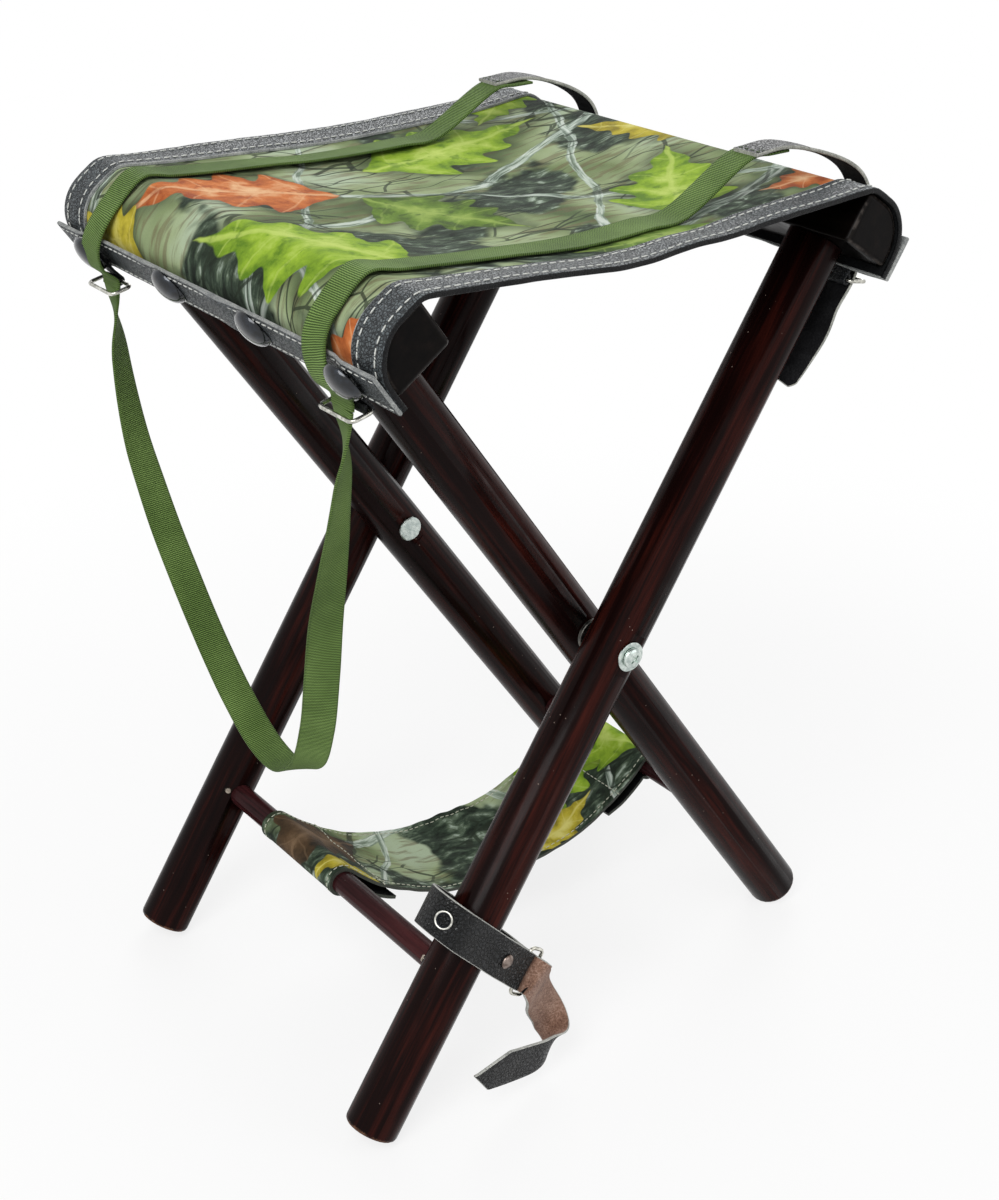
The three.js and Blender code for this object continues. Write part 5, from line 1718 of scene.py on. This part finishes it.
@dataclass
class CarryWebbing:
    """The carrying webbing: two runs over the seat, a hanging loop, and two leather ends with loose tails."""

    rings: Rings
    run: SeatRun
    thick: float = 1.6
    width: float = 21.0
    y: float = 122.0
    loop_y: float = 131.0
    loop_drop: float = 270.0
    loop_lean: float = 10.0
    seam_x: float = 104.0
    seam_length: float = 28.0
    rise: float = 2.6
    seam_rise: float = 17.0
    sag_y: float = 132.5
    # Where the runs rise to the seam, and the first and last place where they lie on the seat, along X
    rising: tuple[float, ...] = (132.0, 118.0, 104.0)
    lying: tuple[float, float] = (52.0, -140.94)
    standoff: float = 11.0
    leather: float = 2.2
    strap_width: float = 20.0
    # Places along the rails: at the seam, over the rail and in the buckle
    strap_ys: tuple[float, float, float] = (125.0, 129.2, 136.2)
    tail: float = 72.0
    tail_shift: float = 14.0
    # The box of stitches: its first and last place along X, and half of its width
    box: tuple[float, float, float] = (107.0, 128.0, 7.2)
    bend: tuple[float, float] = (0.185, -0.185)

    @property
    def seam_height(self) -> float:
        """The height of the webbing's middle in the seam."""
        return CORNER_Z + self.rise + self.seam_rise

    def build(self) -> None:
        """Build and dress the webbing and the leather ends."""
        self.green = Webbing().make()
        self.black = Leather("black_leather", ("07080a", "191c20", "363b41"), 520.0, 0.0005, 0.4, 0.7,
                             0.4).make()
        self.pale = CutEdge("pale_cut_edge", ("55564f", "a3a49c", "dcdcd2")).make()
        self.back = CutEdge("dark_suede", ("0b0b0c", "19191b", "2e2f30"), 1300.0, 0.0).make()
        self.dark_thread = Thread("green_thread", ("1c2712", "3c5226")).make()
        self.stitch = stitch_item(3.2, 0.8)
        self.rows = Repeater(along=True)
        for end in End:
            self.build_run(end)
            self.build_strap(end)
        self.build_loop()

    def build_run(self, end: End) -> None:
        """Build the run from its seam, down onto the seat, over the rail and down to its ring.

        Args:
            end: the end of the stool.
        """
        y = end.value * self.y
        sag = float(self.run.sag_at(np.array([self.sag_y]))[0])

        def seat_height(x: float) -> float:
            """The height of the webbing's middle where it lies on the seat's highest fold."""
            folds = self.run.folds(np.full(7, x), y + np.linspace(-self.width / 2, self.width / 2, 7))
            return CORNER_Z + self.rise + 2 * FIT - sag * (1 - (x / CORNER_X) ** 2) + float(np.max(folds))

        rising = [np.array([x, y, self.seam_height]) for x in self.rising]
        lying = [np.array([x, y, seat_height(x)]) for x in np.linspace(*self.lying, 9)]
        lifts = (0, 0.06, 0.24, 0.54, 0.82, 1)
        over = []
        for lift, t in list(zip(lifts, np.linspace(math.pi / 2, 0, 6)))[1:]:
            height = self.rise + FIT + self.standoff * lift
            skew = end.value * (self.loop_y - self.y) * lift ** 2
            over.append(self.run.over_rail(-1, height, t, y + skew))
        corner = frame_point(-1, -self.run.rail_inner, self.run.rail_top + self.rise + 5 * FIT, y)
        last = self.rings.window(-1, end.value * self.loop_y)
        above = last + np.array([0, 0, 5.0])
        route = smooth_route([*rising, *lying, corner, *over, above, last], 2.0)
        wide = np.repeat([[0.0, 1.0, 0.0]], len(route), axis=0)
        share = np.linspace(0, 1, len(route))
        wide[:, 2] += 0.05 * np.sin(share * 9 + end.value) * np.sin(share * math.pi)
        piece = ribbon(f"woven_run_{end.label}", route, wide, self.width, self.thick, [self.green] * 3,
                       cup=-0.35 * np.sin(share * math.pi))
        done(piece, self.bend, "green_webbing", f"webbing_run_{end.label}")

    def build_loop(self) -> None:
        """Build the hanging loop, whose width turns as it falls."""
        top = self.rings.window(-1, 0)
        shares = ((-1, 0), (-.985, -.09), (-.88, -.27), (-.79, -.4), (-.7, -.53), (-.62, -.68), (-.53, -.83),
                  (-.4, -.95), (-.22, -1), (0, -.985), (.22, -.91), (.38, -.83), (.52, -.745), (.65, -.655),
                  (.77, -.565), (.87, -.47), (.955, -.375), (1, -.27), (1.015, -.17), (1.01, -.08), (1, 0))
        turns = (0, .6, .75, .95, 1.15, 1.32, 1.4, 1.4, 1.3, 1.15, 1.05, 1, 1, .95, .85, .7, .55, 0)
        points = [np.array([top[0] - z * self.loop_lean, y * self.loop_y, top[2] - (1.55 if z else 0)
                            + z * self.loop_drop]) for y, z in shares]
        route = smooth_route(points, 2.0)
        turn = np.interp(np.linspace(0, len(turns) - 1, len(route)), range(len(turns)), turns) * math.pi / 2
        turn = np.convolve(np.pad(turn, 4, "edge"), np.ones(9) / 9, "valid")
        wide = turned_width(turn)
        piece = ribbon("woven_loop", route, wide, self.width, self.thick, [self.green] * 3,
                       cup=0.4 * np.sin(np.linspace(0, math.pi, len(route))))
        done(piece, "carry_loop", "green_webbing", "webbing_loop")

    def build_strap(self, end: End) -> None:
        """Build a leather end: from its seam over the rail and through its buckle to a loose tail.

        Args:
            end: the end of the stool.
        """
        e = end.value
        seam_y, arch_y, buckle_y = self.strap_ys
        seam_z = self.seam_height + (self.thick + self.leather) / 2 + 0.15
        seam = [np.array([x, e * seam_y, seam_z]) for x in (self.seam_x, self.seam_x + self.seam_length)]
        arch = []
        for degrees, lift in zip((96, 68, 40, 14), (1.14, 1.21, 1.18, 1.15)):
            arch.append(self.run.over_rail(1, 14 * lift, math.radians(degrees), e * arch_y))
        tail = [frame_point(1, self.rings.out + o * self.tail, self.rings.up + u * self.tail,
                            e * (seam_y + self.tail_shift * a))
                for o, u, a in ((.05, -.22, .9), (.035, -.5, 1), (-.02, -.75, 1), (-.09, -1, 1))]
        route = smooth_route([*seam, *arch, self.rings.window(1, e * buckle_y), *tail], 1.6)
        share = np.linspace(0, 1, len(route))
        turn = np.clip((share - 0.78) / 0.22, 0, 1) * e * math.radians(53)
        wide = turned_width(turn)
        half = np.full(len(route), self.strap_width / 2)
        left = half - 0.25 * waves(share * 300, 0.0, 61 + e, 50)
        right = half + 0.25 * waves(share * 300, 0.0, 64 + e, 50)
        left[-4:] -= (0, 0.6, 1.6, 3.0)
        piece = ribbon(f"leather_end_{end.label}", route, wide, self.strap_width, self.leather,
                       (self.black, self.pale, self.back), (left, right), 0.5 * np.sin(share * 7))
        done(piece, self.bend, "black_leather", f"carry_strap_{end.label}")
        z = seam_z + self.leather / 2 + 0.15
        x0, x1, half_box = self.box
        y0, y1 = e * seam_y - half_box, e * seam_y + half_box
        corners = [(x0, y0), (x1, y0), (x1, y1), (x0, y1), (x0, y0), (x1, y1)]
        lines = [evenly(np.array([(*a, z), (*b, z)]), 1.0) for a, b in zip(corners, corners[1:])]
        box = self.rows.run(f"seam_stitches_{end.label}", lines, self.stitch, self.dark_thread, 4.2)
        done(box, self.bend, "black_leather")


@dataclass
class Sling:
    """The cloth sling round both rungs, its ends turned under as black flaps."""

    rung_x: float = 127.96
    rung_z: float = 100.72
    radius: float = 9.2
    thick: float = 1.8
    width: float = 88.0
    sag: float = 50.0
    fall: float = math.radians(44)
    y: float = 20.0
    skew: float = -0.06
    flap: float = 30.0
    flap_drop: float = 9.0
    hem: float = 7.0
    seam_x: float = 99.0
    # Where the loose middle ends, and where the cloth is gathered by the rungs
    loose_x: float = 118.0
    gathered_x: float = 104.0
    bend: tuple[float, float] = (-0.117, 0.117)

    def route(self) -> Array:
        """Step along the sling's middle from one flap's tip, round both rungs, to the other's.

        Returns:
            The route's points.
        """
        reach = self.rung_x - self.radius * math.sin(self.fall)
        top = self.rung_z + self.radius * math.cos(self.fall)
        bend = math.tan(self.fall) * reach / self.sag

        def band(share: float) -> tuple[float, float]:
            """The sling's place at a share of the way from the middle to a rung."""
            return share * reach, top - self.sag * (1 - abs(share) ** bend)

        end_x, end_z = band(1 - self.flap / reach)
        tip = (end_x - 2, end_z - 0.9 - self.flap_drop)
        start = (reach, self.rung_z - self.radius * math.cos(self.fall))
        knee = (end_x + self.flap * 0.42, end_z - 1.8 - self.flap_drop * 0.4)
        tip, knee, start = np.array(tip), np.array(knee), np.array(start)
        fold = [tuple((1 - s) ** 2 * tip + 2 * s * (1 - s) * knee + s * s * start)
                for s in np.linspace(0, 1, 12)[:-1]]
        quarter = math.pi / 2
        turn = arc(self.rung_x, self.rung_z, self.radius, -quarter - self.fall, quarter + self.fall, 28)
        half = [*fold, *turn]
        span = [band(s) for s in np.linspace(1, 0, 50)[1:]]
        right = half + span
        left = [(-x, z) for x, z in reversed(right[:-1])]
        return np.array([(x, 0.0, z) for x, z in right + left])

    def build(self) -> None:
        """Build and dress the sling with its hems and stitches."""
        route = evenly(self.route(), 2.0)
        along = tangents(route)
        front = np.stack([-along[:, 2], along[:, 0] * 0, along[:, 0]], axis=1) * -1.0
        ys = np.linspace(-self.width / 2, self.width / 2, 45)
        x = route[:, 0]
        t = self.thick / 2
        middle = np.clip(1 - (x / self.loose_x) ** 2, 0, 1)
        fold = 1.2 * waves(x[:, None], ys[None, :], 71, 60) + 0.45 * waves(x[:, None], ys[None, :], 73, 24)
        dish = -3.2 * (1 - (ys[None, :] / (self.width / 2)) ** 2)
        gather = 0.5 * np.sin(ys[None, :] / 5.2 + 1.0) * hump(np.abs(x), self.gathered_x, 16)[:, None]
        lift = middle[:, None] * (fold + dish) + gather * middle[:, None] ** 0.2
        hem = np.clip((np.abs(ys) - (self.width / 2 - self.hem)) / 1.2, 0, 1)
        rows = []
        for sign, padding in ((1, 0.35), (-1, -0.2)):
            out = lift + sign * t + padding * hem[None, :]
            grid = np.zeros((len(route), len(ys), 3))
            grid[..., 0] = x[:, None] + front[:, None, 0] * out
            grid[..., 2] = route[:, None, 2] + front[:, None, 2] * out
            edge = 0.8 * waves(x, 0.0, 77, 70)[:, None] * (np.abs(ys) / (self.width / 2))[None, :] ** 4
            grid[..., 1] = ys[None, :] + edge + self.y + self.skew * x[:, None]
            rows.append(grid)
        grid = np.concatenate([rows[0], rows[1][:, ::-1]], axis=1)
        plan = flat_plan(lengths_along(route), np.concatenate([ys, ys[::-1]]))
        camo = WoodlandPrint("woodland_sling_cloth", SLING_LEAVES, (0.62, 0.33), 0.8).make()
        lining = CutEdge("black_lining", ("060607", "0f1011", "1c1d1f"), 1100.0, 0.0).make()
        hem_edge = Thread("hem_edge", ("1b1e18", "3d4236")).make()
        n = len(ys)
        sides = [0] * (n - 1) + [2] + [1] * (n - 1) + [2]
        piece = lofted("hung_sling", (camo, lining, hem_edge), grid, plan, sides, 2, sharp=60)
        done(piece, self.bend, "camo_cloth", "lower_sling")
        self.sew(rows[0], ys, x)

    def sew(self, top: Array, ys: Array, x: Array) -> None:
        """Sew the hems along both edges, and the seam by each rung.

        Args:
            top: the upper face's points.
            ys: the places across the sling.
            x: the stations' places along X.
        """
        thread = Thread("sling_thread", ("a5a891", "e1e2cf")).make()
        stitch = stitch_item(3.0, 0.7)
        rows = Repeater(along=True)
        lines = []
        for column in (2, len(ys) - 3):
            lines.append(evenly(top[6:-6, column] + np.array([0, 0, 0.2]), 1.0))
        for edge in (-self.seam_x, self.seam_x):
            station = int(np.argmin(np.abs(x[14:-14] - edge))) + 14
            lines.append(evenly(top[station] + np.array([0, 0, 0.25]), 1.0))
        piece = rows.run("sling_stitches", lines, stitch, thread, 4.4)
        done(piece, self.bend, "camo_cloth")


@dataclass
class ClosingStrap:
    """The closing strap on the near outer leg: folded round its buckle, round the leg, to a curled tail."""

    width: float = 26.0
    thick: float = 2.2
    height: float = 199.0
    tilt: float = 0.25
    round: float = 19.6
    slack: float = 18.0
    # Places about the leg, out from its axis and to its side: the buckle's bar and the strap beyond it
    eye: tuple[float, float] = (47.5, 11.0)
    way_out: tuple[float, float] = (53.0, 11.0)
    # The buckle's length, depth, wire and bend
    buckle: tuple[float, float, float, float] = (35.0, 13.5, 2.5, 3.0)
    tail: float = 112.0
    easing: int = 30
    rivet: tuple[float, float] = (21.0, 18.61)
    rivet_turn: float = math.radians(13)
    eyelet_turn: float = math.radians(30)
    leg_y: float = 136.0
    body: str = "closing_strap_body"

    def reach(self, x: float) -> float:
        """The height of the strap's middle along the leg."""
        return -self.height - self.tilt * x

    def to_leg(self, grid: Array) -> Array:
        """Carry points drawn about the leg to the near outer leg."""
        out, y, up = grid[..., 0], grid[..., 1], grid[..., 2]
        return np.stack([up * SIN + out * COS, -y - self.leg_y, PIVOT_HEIGHT + up * COS - out * SIN], axis=-1)

    def leg_matrix(self) -> Matrix:
        """The same move as a matrix, in metres."""
        return (Matrix.Translation((0, 0, PIVOT_HEIGHT * MM)) @ Matrix.Rotation(LEG_ANGLE, 4, "Y")
                @ Matrix.Translation((0, -self.leg_y * MM, 0)) @ Matrix.Diagonal((1, -1, 1, 1)))

    def build(self) -> None:
        """Build and dress the strap, its buckle, rivet and eyelet."""
        black = Leather("closing_leather", ("020303", "07080a", "1a1d21"), 400.0, 0.0012, 0.32, 0.8,
                        0.34).make()
        pale = CutEdge("closing_cut_edge", ("5f605c", "b3b4ae", "e4e4dd")).make()
        route, wide, across = self.shape()
        way_out = np.array([*self.way_out, self.reach(self.way_out[0])])
        buckled = lengths_along(route)[int(np.argmin(np.linalg.norm(route - way_out, axis=1)))]
        # The suede back is painted near-black as the shade inside the strap's loop, up to where it leaves the
        # buckle
        suede = CutEdge("brown_suede", ("4e352b", "8c6a58", "b99e8e"), 900.0, 0.2, buckled * MM).make()
        piece = ribbon("closing_leather_strap", route, wide, self.width, self.thick, (black, pale, suede),
                       across, mirrored=self.to_leg)
        done(piece, self.body, "black_leather", "closing_strap")
        bright = Metal("buckle_plate", ("a3a196", "e6e4da"), 0.22).make()
        ex, ey = self.eye
        middle = self.reach(ex + 2.7)

        def to_place(grid: Array) -> Array:
            """Stand flat points upright at the strap's end."""
            upright = np.stack([grid[..., 0] + ex, ey - grid[..., 2], grid[..., 1] + middle], axis=-1)
            return self.to_leg(upright)

        buckle = wire_loop("bent_closing_buckle", *self.buckle, bright, to_place)
        done(buckle, self.body, "zinc", "closing_buckle")
        self.fasten()

    def shape(self) -> tuple[Array, Array, tuple[Array, Array]]:
        """Work out where the strap goes, drawn about the leg.

        Returns:
            Its route, the way its width lies, and how far it reaches to either side.
        """
        ex, ey = self.eye
        out_x = self.way_out[0]
        r = self.round
        back = [(ex - 31, 17.35), (ex - 24, 16.1), (ex - 15, 13.2), (ex - 6, 9.0)]
        turn = arc(ex, ey, 2.65, -math.radians(100), math.radians(99), 8)
        front = [(ex - 15, 16.06), (ex - 30, 19.54), (0, r)]
        leg = arc(-self.slack, 0, r, math.pi / 2, 3 * math.pi / 2, 12)
        home = [(0, -r), (.37 * ex, -1.02 * r), (.63 * ex, -.78 * r), (ex, -.3 * r), self.way_out]
        flat = [*back, *turn, *front, *leg, *home]
        points = [np.array([x, y, self.reach(x)]) for x, y in flat]
        start = np.array([out_x, 9.9, self.reach(out_x)])
        shares = ((.05, .07, -.01), (.2, 0, -.13), (.39, -.02, -.235), (.445, .04, -.33), (.375, .1, -.41),
                  (.18, .13, -.49), (.01, .155, -.54), (-.17, .165, -.6))
        tail = [start + self.tail * np.array(s) for s in shares]
        route = smooth_route([*points, *tail], 1.5)
        loose = int(np.argmin(np.linalg.norm(route - tail[0], axis=1)))
        for _ in range(self.easing):
            route[loose:-1] = (route[loose - 1:-2] + 2 * route[loose:-1] + route[loose + 1:]) / 4
        run = lengths_along(route)
        left_over = run[-1] - run
        half = self.width / 2
        waist = 1 - 0.13 * hump(left_over, 70, 26)
        left = np.minimum(half * waist, left_over * 0.9 + 0.4)
        right = np.minimum(half * waist, left_over * 0.48 + 0.3)
        wide = np.repeat([[0.0, 0.0, 1.0]], len(route), axis=0)
        return route, wide, (left, right)

    def fasten(self) -> None:
        """Build the domed rivet and the eyelet."""
        nickel = Metal("rivet_nickel", ("4d3d36", "94867e")).make()
        x, y = self.rivet
        place = (self.leg_matrix() @ Matrix.Translation((x * MM, y * MM, self.reach(x) * MM))
                 @ Matrix.Rotation(-self.rivet_turn, 4, "Z") @ Matrix.Rotation(-math.pi / 2, 4, "X"))
        profile = [(0, -5.8), (3.9, -5.8), (3.9, -4.8), (2, -4.8), (2, 1.35), (4.7, 1.35),
                   *dome(5, 1.75, 2.75, 24), (0, 4.5)]
        done(turned("domed_rivet", profile, nickel, place, 40, 50), self.body, "zinc", "closing_rivet")
        x = -self.slack - LEG_RADIUS * math.cos(self.eyelet_turn)
        place = (self.leg_matrix() @ Matrix.Translation((-self.slack * MM, 0, self.reach(x) * MM))
                 @ Matrix.Rotation(-self.eyelet_turn, 4, "Z") @ Matrix.Rotation(-math.pi / 2, 4, "Y"))
        rim = [(4.7, 20.75), (5.9, 20.75), (6.0, 21.1), (5.6, 21.55), (5.1, 21.6), (4.7, 21.3), (4.7, 20.75)]
        brass = Metal("eyelet_brass", ("a8a79f", "e6e5dd")).make()
        ring = turned("eyelet_rim", rim, brass, place, sharp=60)
        done(ring, self.body, "zinc", "closing_eyelet")
        barrel = [(3.2, 18.5), (3.9, 18.5), (3.9, 20.6), (4.85, 20.8), (4.85, 21.25), (4.2, 21.2),
                  (3.2, 20.2), (3.2, 18.5)]
        # The barrel is near-black: painted shade inside the eyelet's hole
        black = Metal("eyelet_barrel_shade", ("0c0d10", "1d2026"), 0.35, 0.8).make()
        inner = turned("eyelet_barrel", barrel, black, place, sharp=60)
        done(inner, self.body, "zinc")


@dataclass
class Studio:
    """A pale floor, soft light and the camera at the photograph's angle."""

    key: float = 38.0
    fill: float = 10.0
    back: float = 20.0
    sky: float = 0.42
    aim: float = 0.3
    floor_half: float = 8.0
    lens: float = 57.235
    # The camera's shift, its place, and its right, up and backward directions
    shift: tuple[float, float] = (-0.00212, 0.00056)
    stand: tuple[float, float, float] = (-0.66436, -0.92030, 0.84172)
    axes: tuple[tuple[float, float, float], ...] = (
        (0.799798, -0.600160, -0.011503), (0.280456, 0.356667, 0.891141), (-0.530724, -0.715959, 0.453580))

    def camera(self) -> None:
        """Set up the camera."""
        data = bpy.data.cameras.new("camera")
        data.lens, data.sensor_width = self.lens, 36.0
        data.shift_x, data.shift_y = self.shift
        data.clip_start, data.clip_end = 0.02, 50.0
        camera = in_scene("camera", data)
        camera.matrix_world = Matrix.Translation(self.stand) @ Matrix(self.axes).transposed().to_4x4()
        bpy.context.scene.camera = camera

    def lamp(self, name: str, place: Sequence[float], size: float, power: float) -> None:
        """Hang one square soft light that points at the stool.

        Args:
            name: the light's name.
            place: where it hangs, in metres.
            size: its width, in metres.
            power: its power, in watts.
        """
        data = bpy.data.lights.new(name, "AREA")
        data.energy, data.size = power, size
        lamp = in_scene(name, data)
        lamp.location = place
        lamp.rotation_euler = (Vector((0, 0, self.aim)) - Vector(place)).to_track_quat("-Z", "Y").to_euler()

    def sky_light(self) -> None:
        """Light the room evenly, and show white behind the stool."""
        world = bpy.data.worlds.new("studio")
        bpy.context.scene.world = world
        world.use_nodes = True
        world.node_tree.nodes.clear()
        m = Mixer(world.node_tree)
        seen = m.watched()
        plain = m.node("ShaderNodeBackground", {"Color": (1, 1, 1, 1), "Strength": self.sky}).outputs[0]
        white = m.node("ShaderNodeBackground", {"Color": (1, 1, 1, 1), "Strength": 1.0}).outputs[0]
        mixed = m.node("ShaderNodeMixShader", {0: seen, 1: plain, 2: white}).outputs[0]
        m.node("ShaderNodeOutputWorld", {"Surface": mixed})

    def floor(self) -> None:
        """Lay the pale floor."""
        mesh = bpy.data.meshes.new("floor")
        r = self.floor_half
        mesh.from_pydata([(-r, -r, 0), (r, -r, 0), (r, r, 0), (-r, r, 0)], [], [(0, 1, 2, 3)])
        floor = in_scene("floor", mesh)
        paint = bpy.data.materials.new("floor_paint")
        paint.use_nodes = True
        paint.node_tree.nodes.clear()
        m = Mixer(paint.node_tree)
        matt = m.node("ShaderNodeBsdfDiffuse", {"Color": (0.9, 0.9, 0.9, 1)}).outputs[0]
        glow = m.node("ShaderNodeEmission", {"Color": (1, 1, 1, 1), "Strength": 1.0}).outputs[0]
        far = m.node("ShaderNodeVectorMath", {0: m.node("ShaderNodeTexCoord").outputs["Object"]},
                     operation="LENGTH").outputs["Value"]
        seen = m.mul(m.watched(), m.span(far, 0.35, 1.0, 0.8, 1.0))
        mixed = m.node("ShaderNodeMixShader", {0: seen, 1: matt, 2: glow}).outputs[0]
        m.node("ShaderNodeOutputMaterial", {"Surface": mixed})
        mesh.materials.append(paint)

    def build(self) -> None:
        """Set up the whole studio."""
        scene = bpy.context.scene
        scene.view_settings.view_transform = "Standard"
        self.camera()
        self.floor()
        self.sky_light()
        self.lamp("key_light", (-1.5, -1.0, 2.1), 1.3, self.key)
        self.lamp("fill_light", (1.2, -2.0, 1.2), 1.6, self.fill)
        self.lamp("back_light", (1.3, 1.5, 1.7), 1.4, self.back)


def main() -> None:
    """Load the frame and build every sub-assembly in order."""
    logging.basicConfig(level=logging.INFO, format="%(name)s: %(message)s")
    for piece in list(bpy.data.objects):
        bpy.data.objects.remove(piece)
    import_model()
    Studio().build()
    rings, run = Rings(), SeatRun()
    Frames().build()
    Pivots().build()
    Seat(run).build()
    rings.build()
    CarryWebbing(rings, run).build()
    Sling().build()
    ClosingStrap().build()
    for item in [o for o in bpy.data.objects if o.name.startswith(("stitch_item", "nail_item"))]:
        bpy.data.objects.remove(item)


if __name__ == "__main__":
    main()
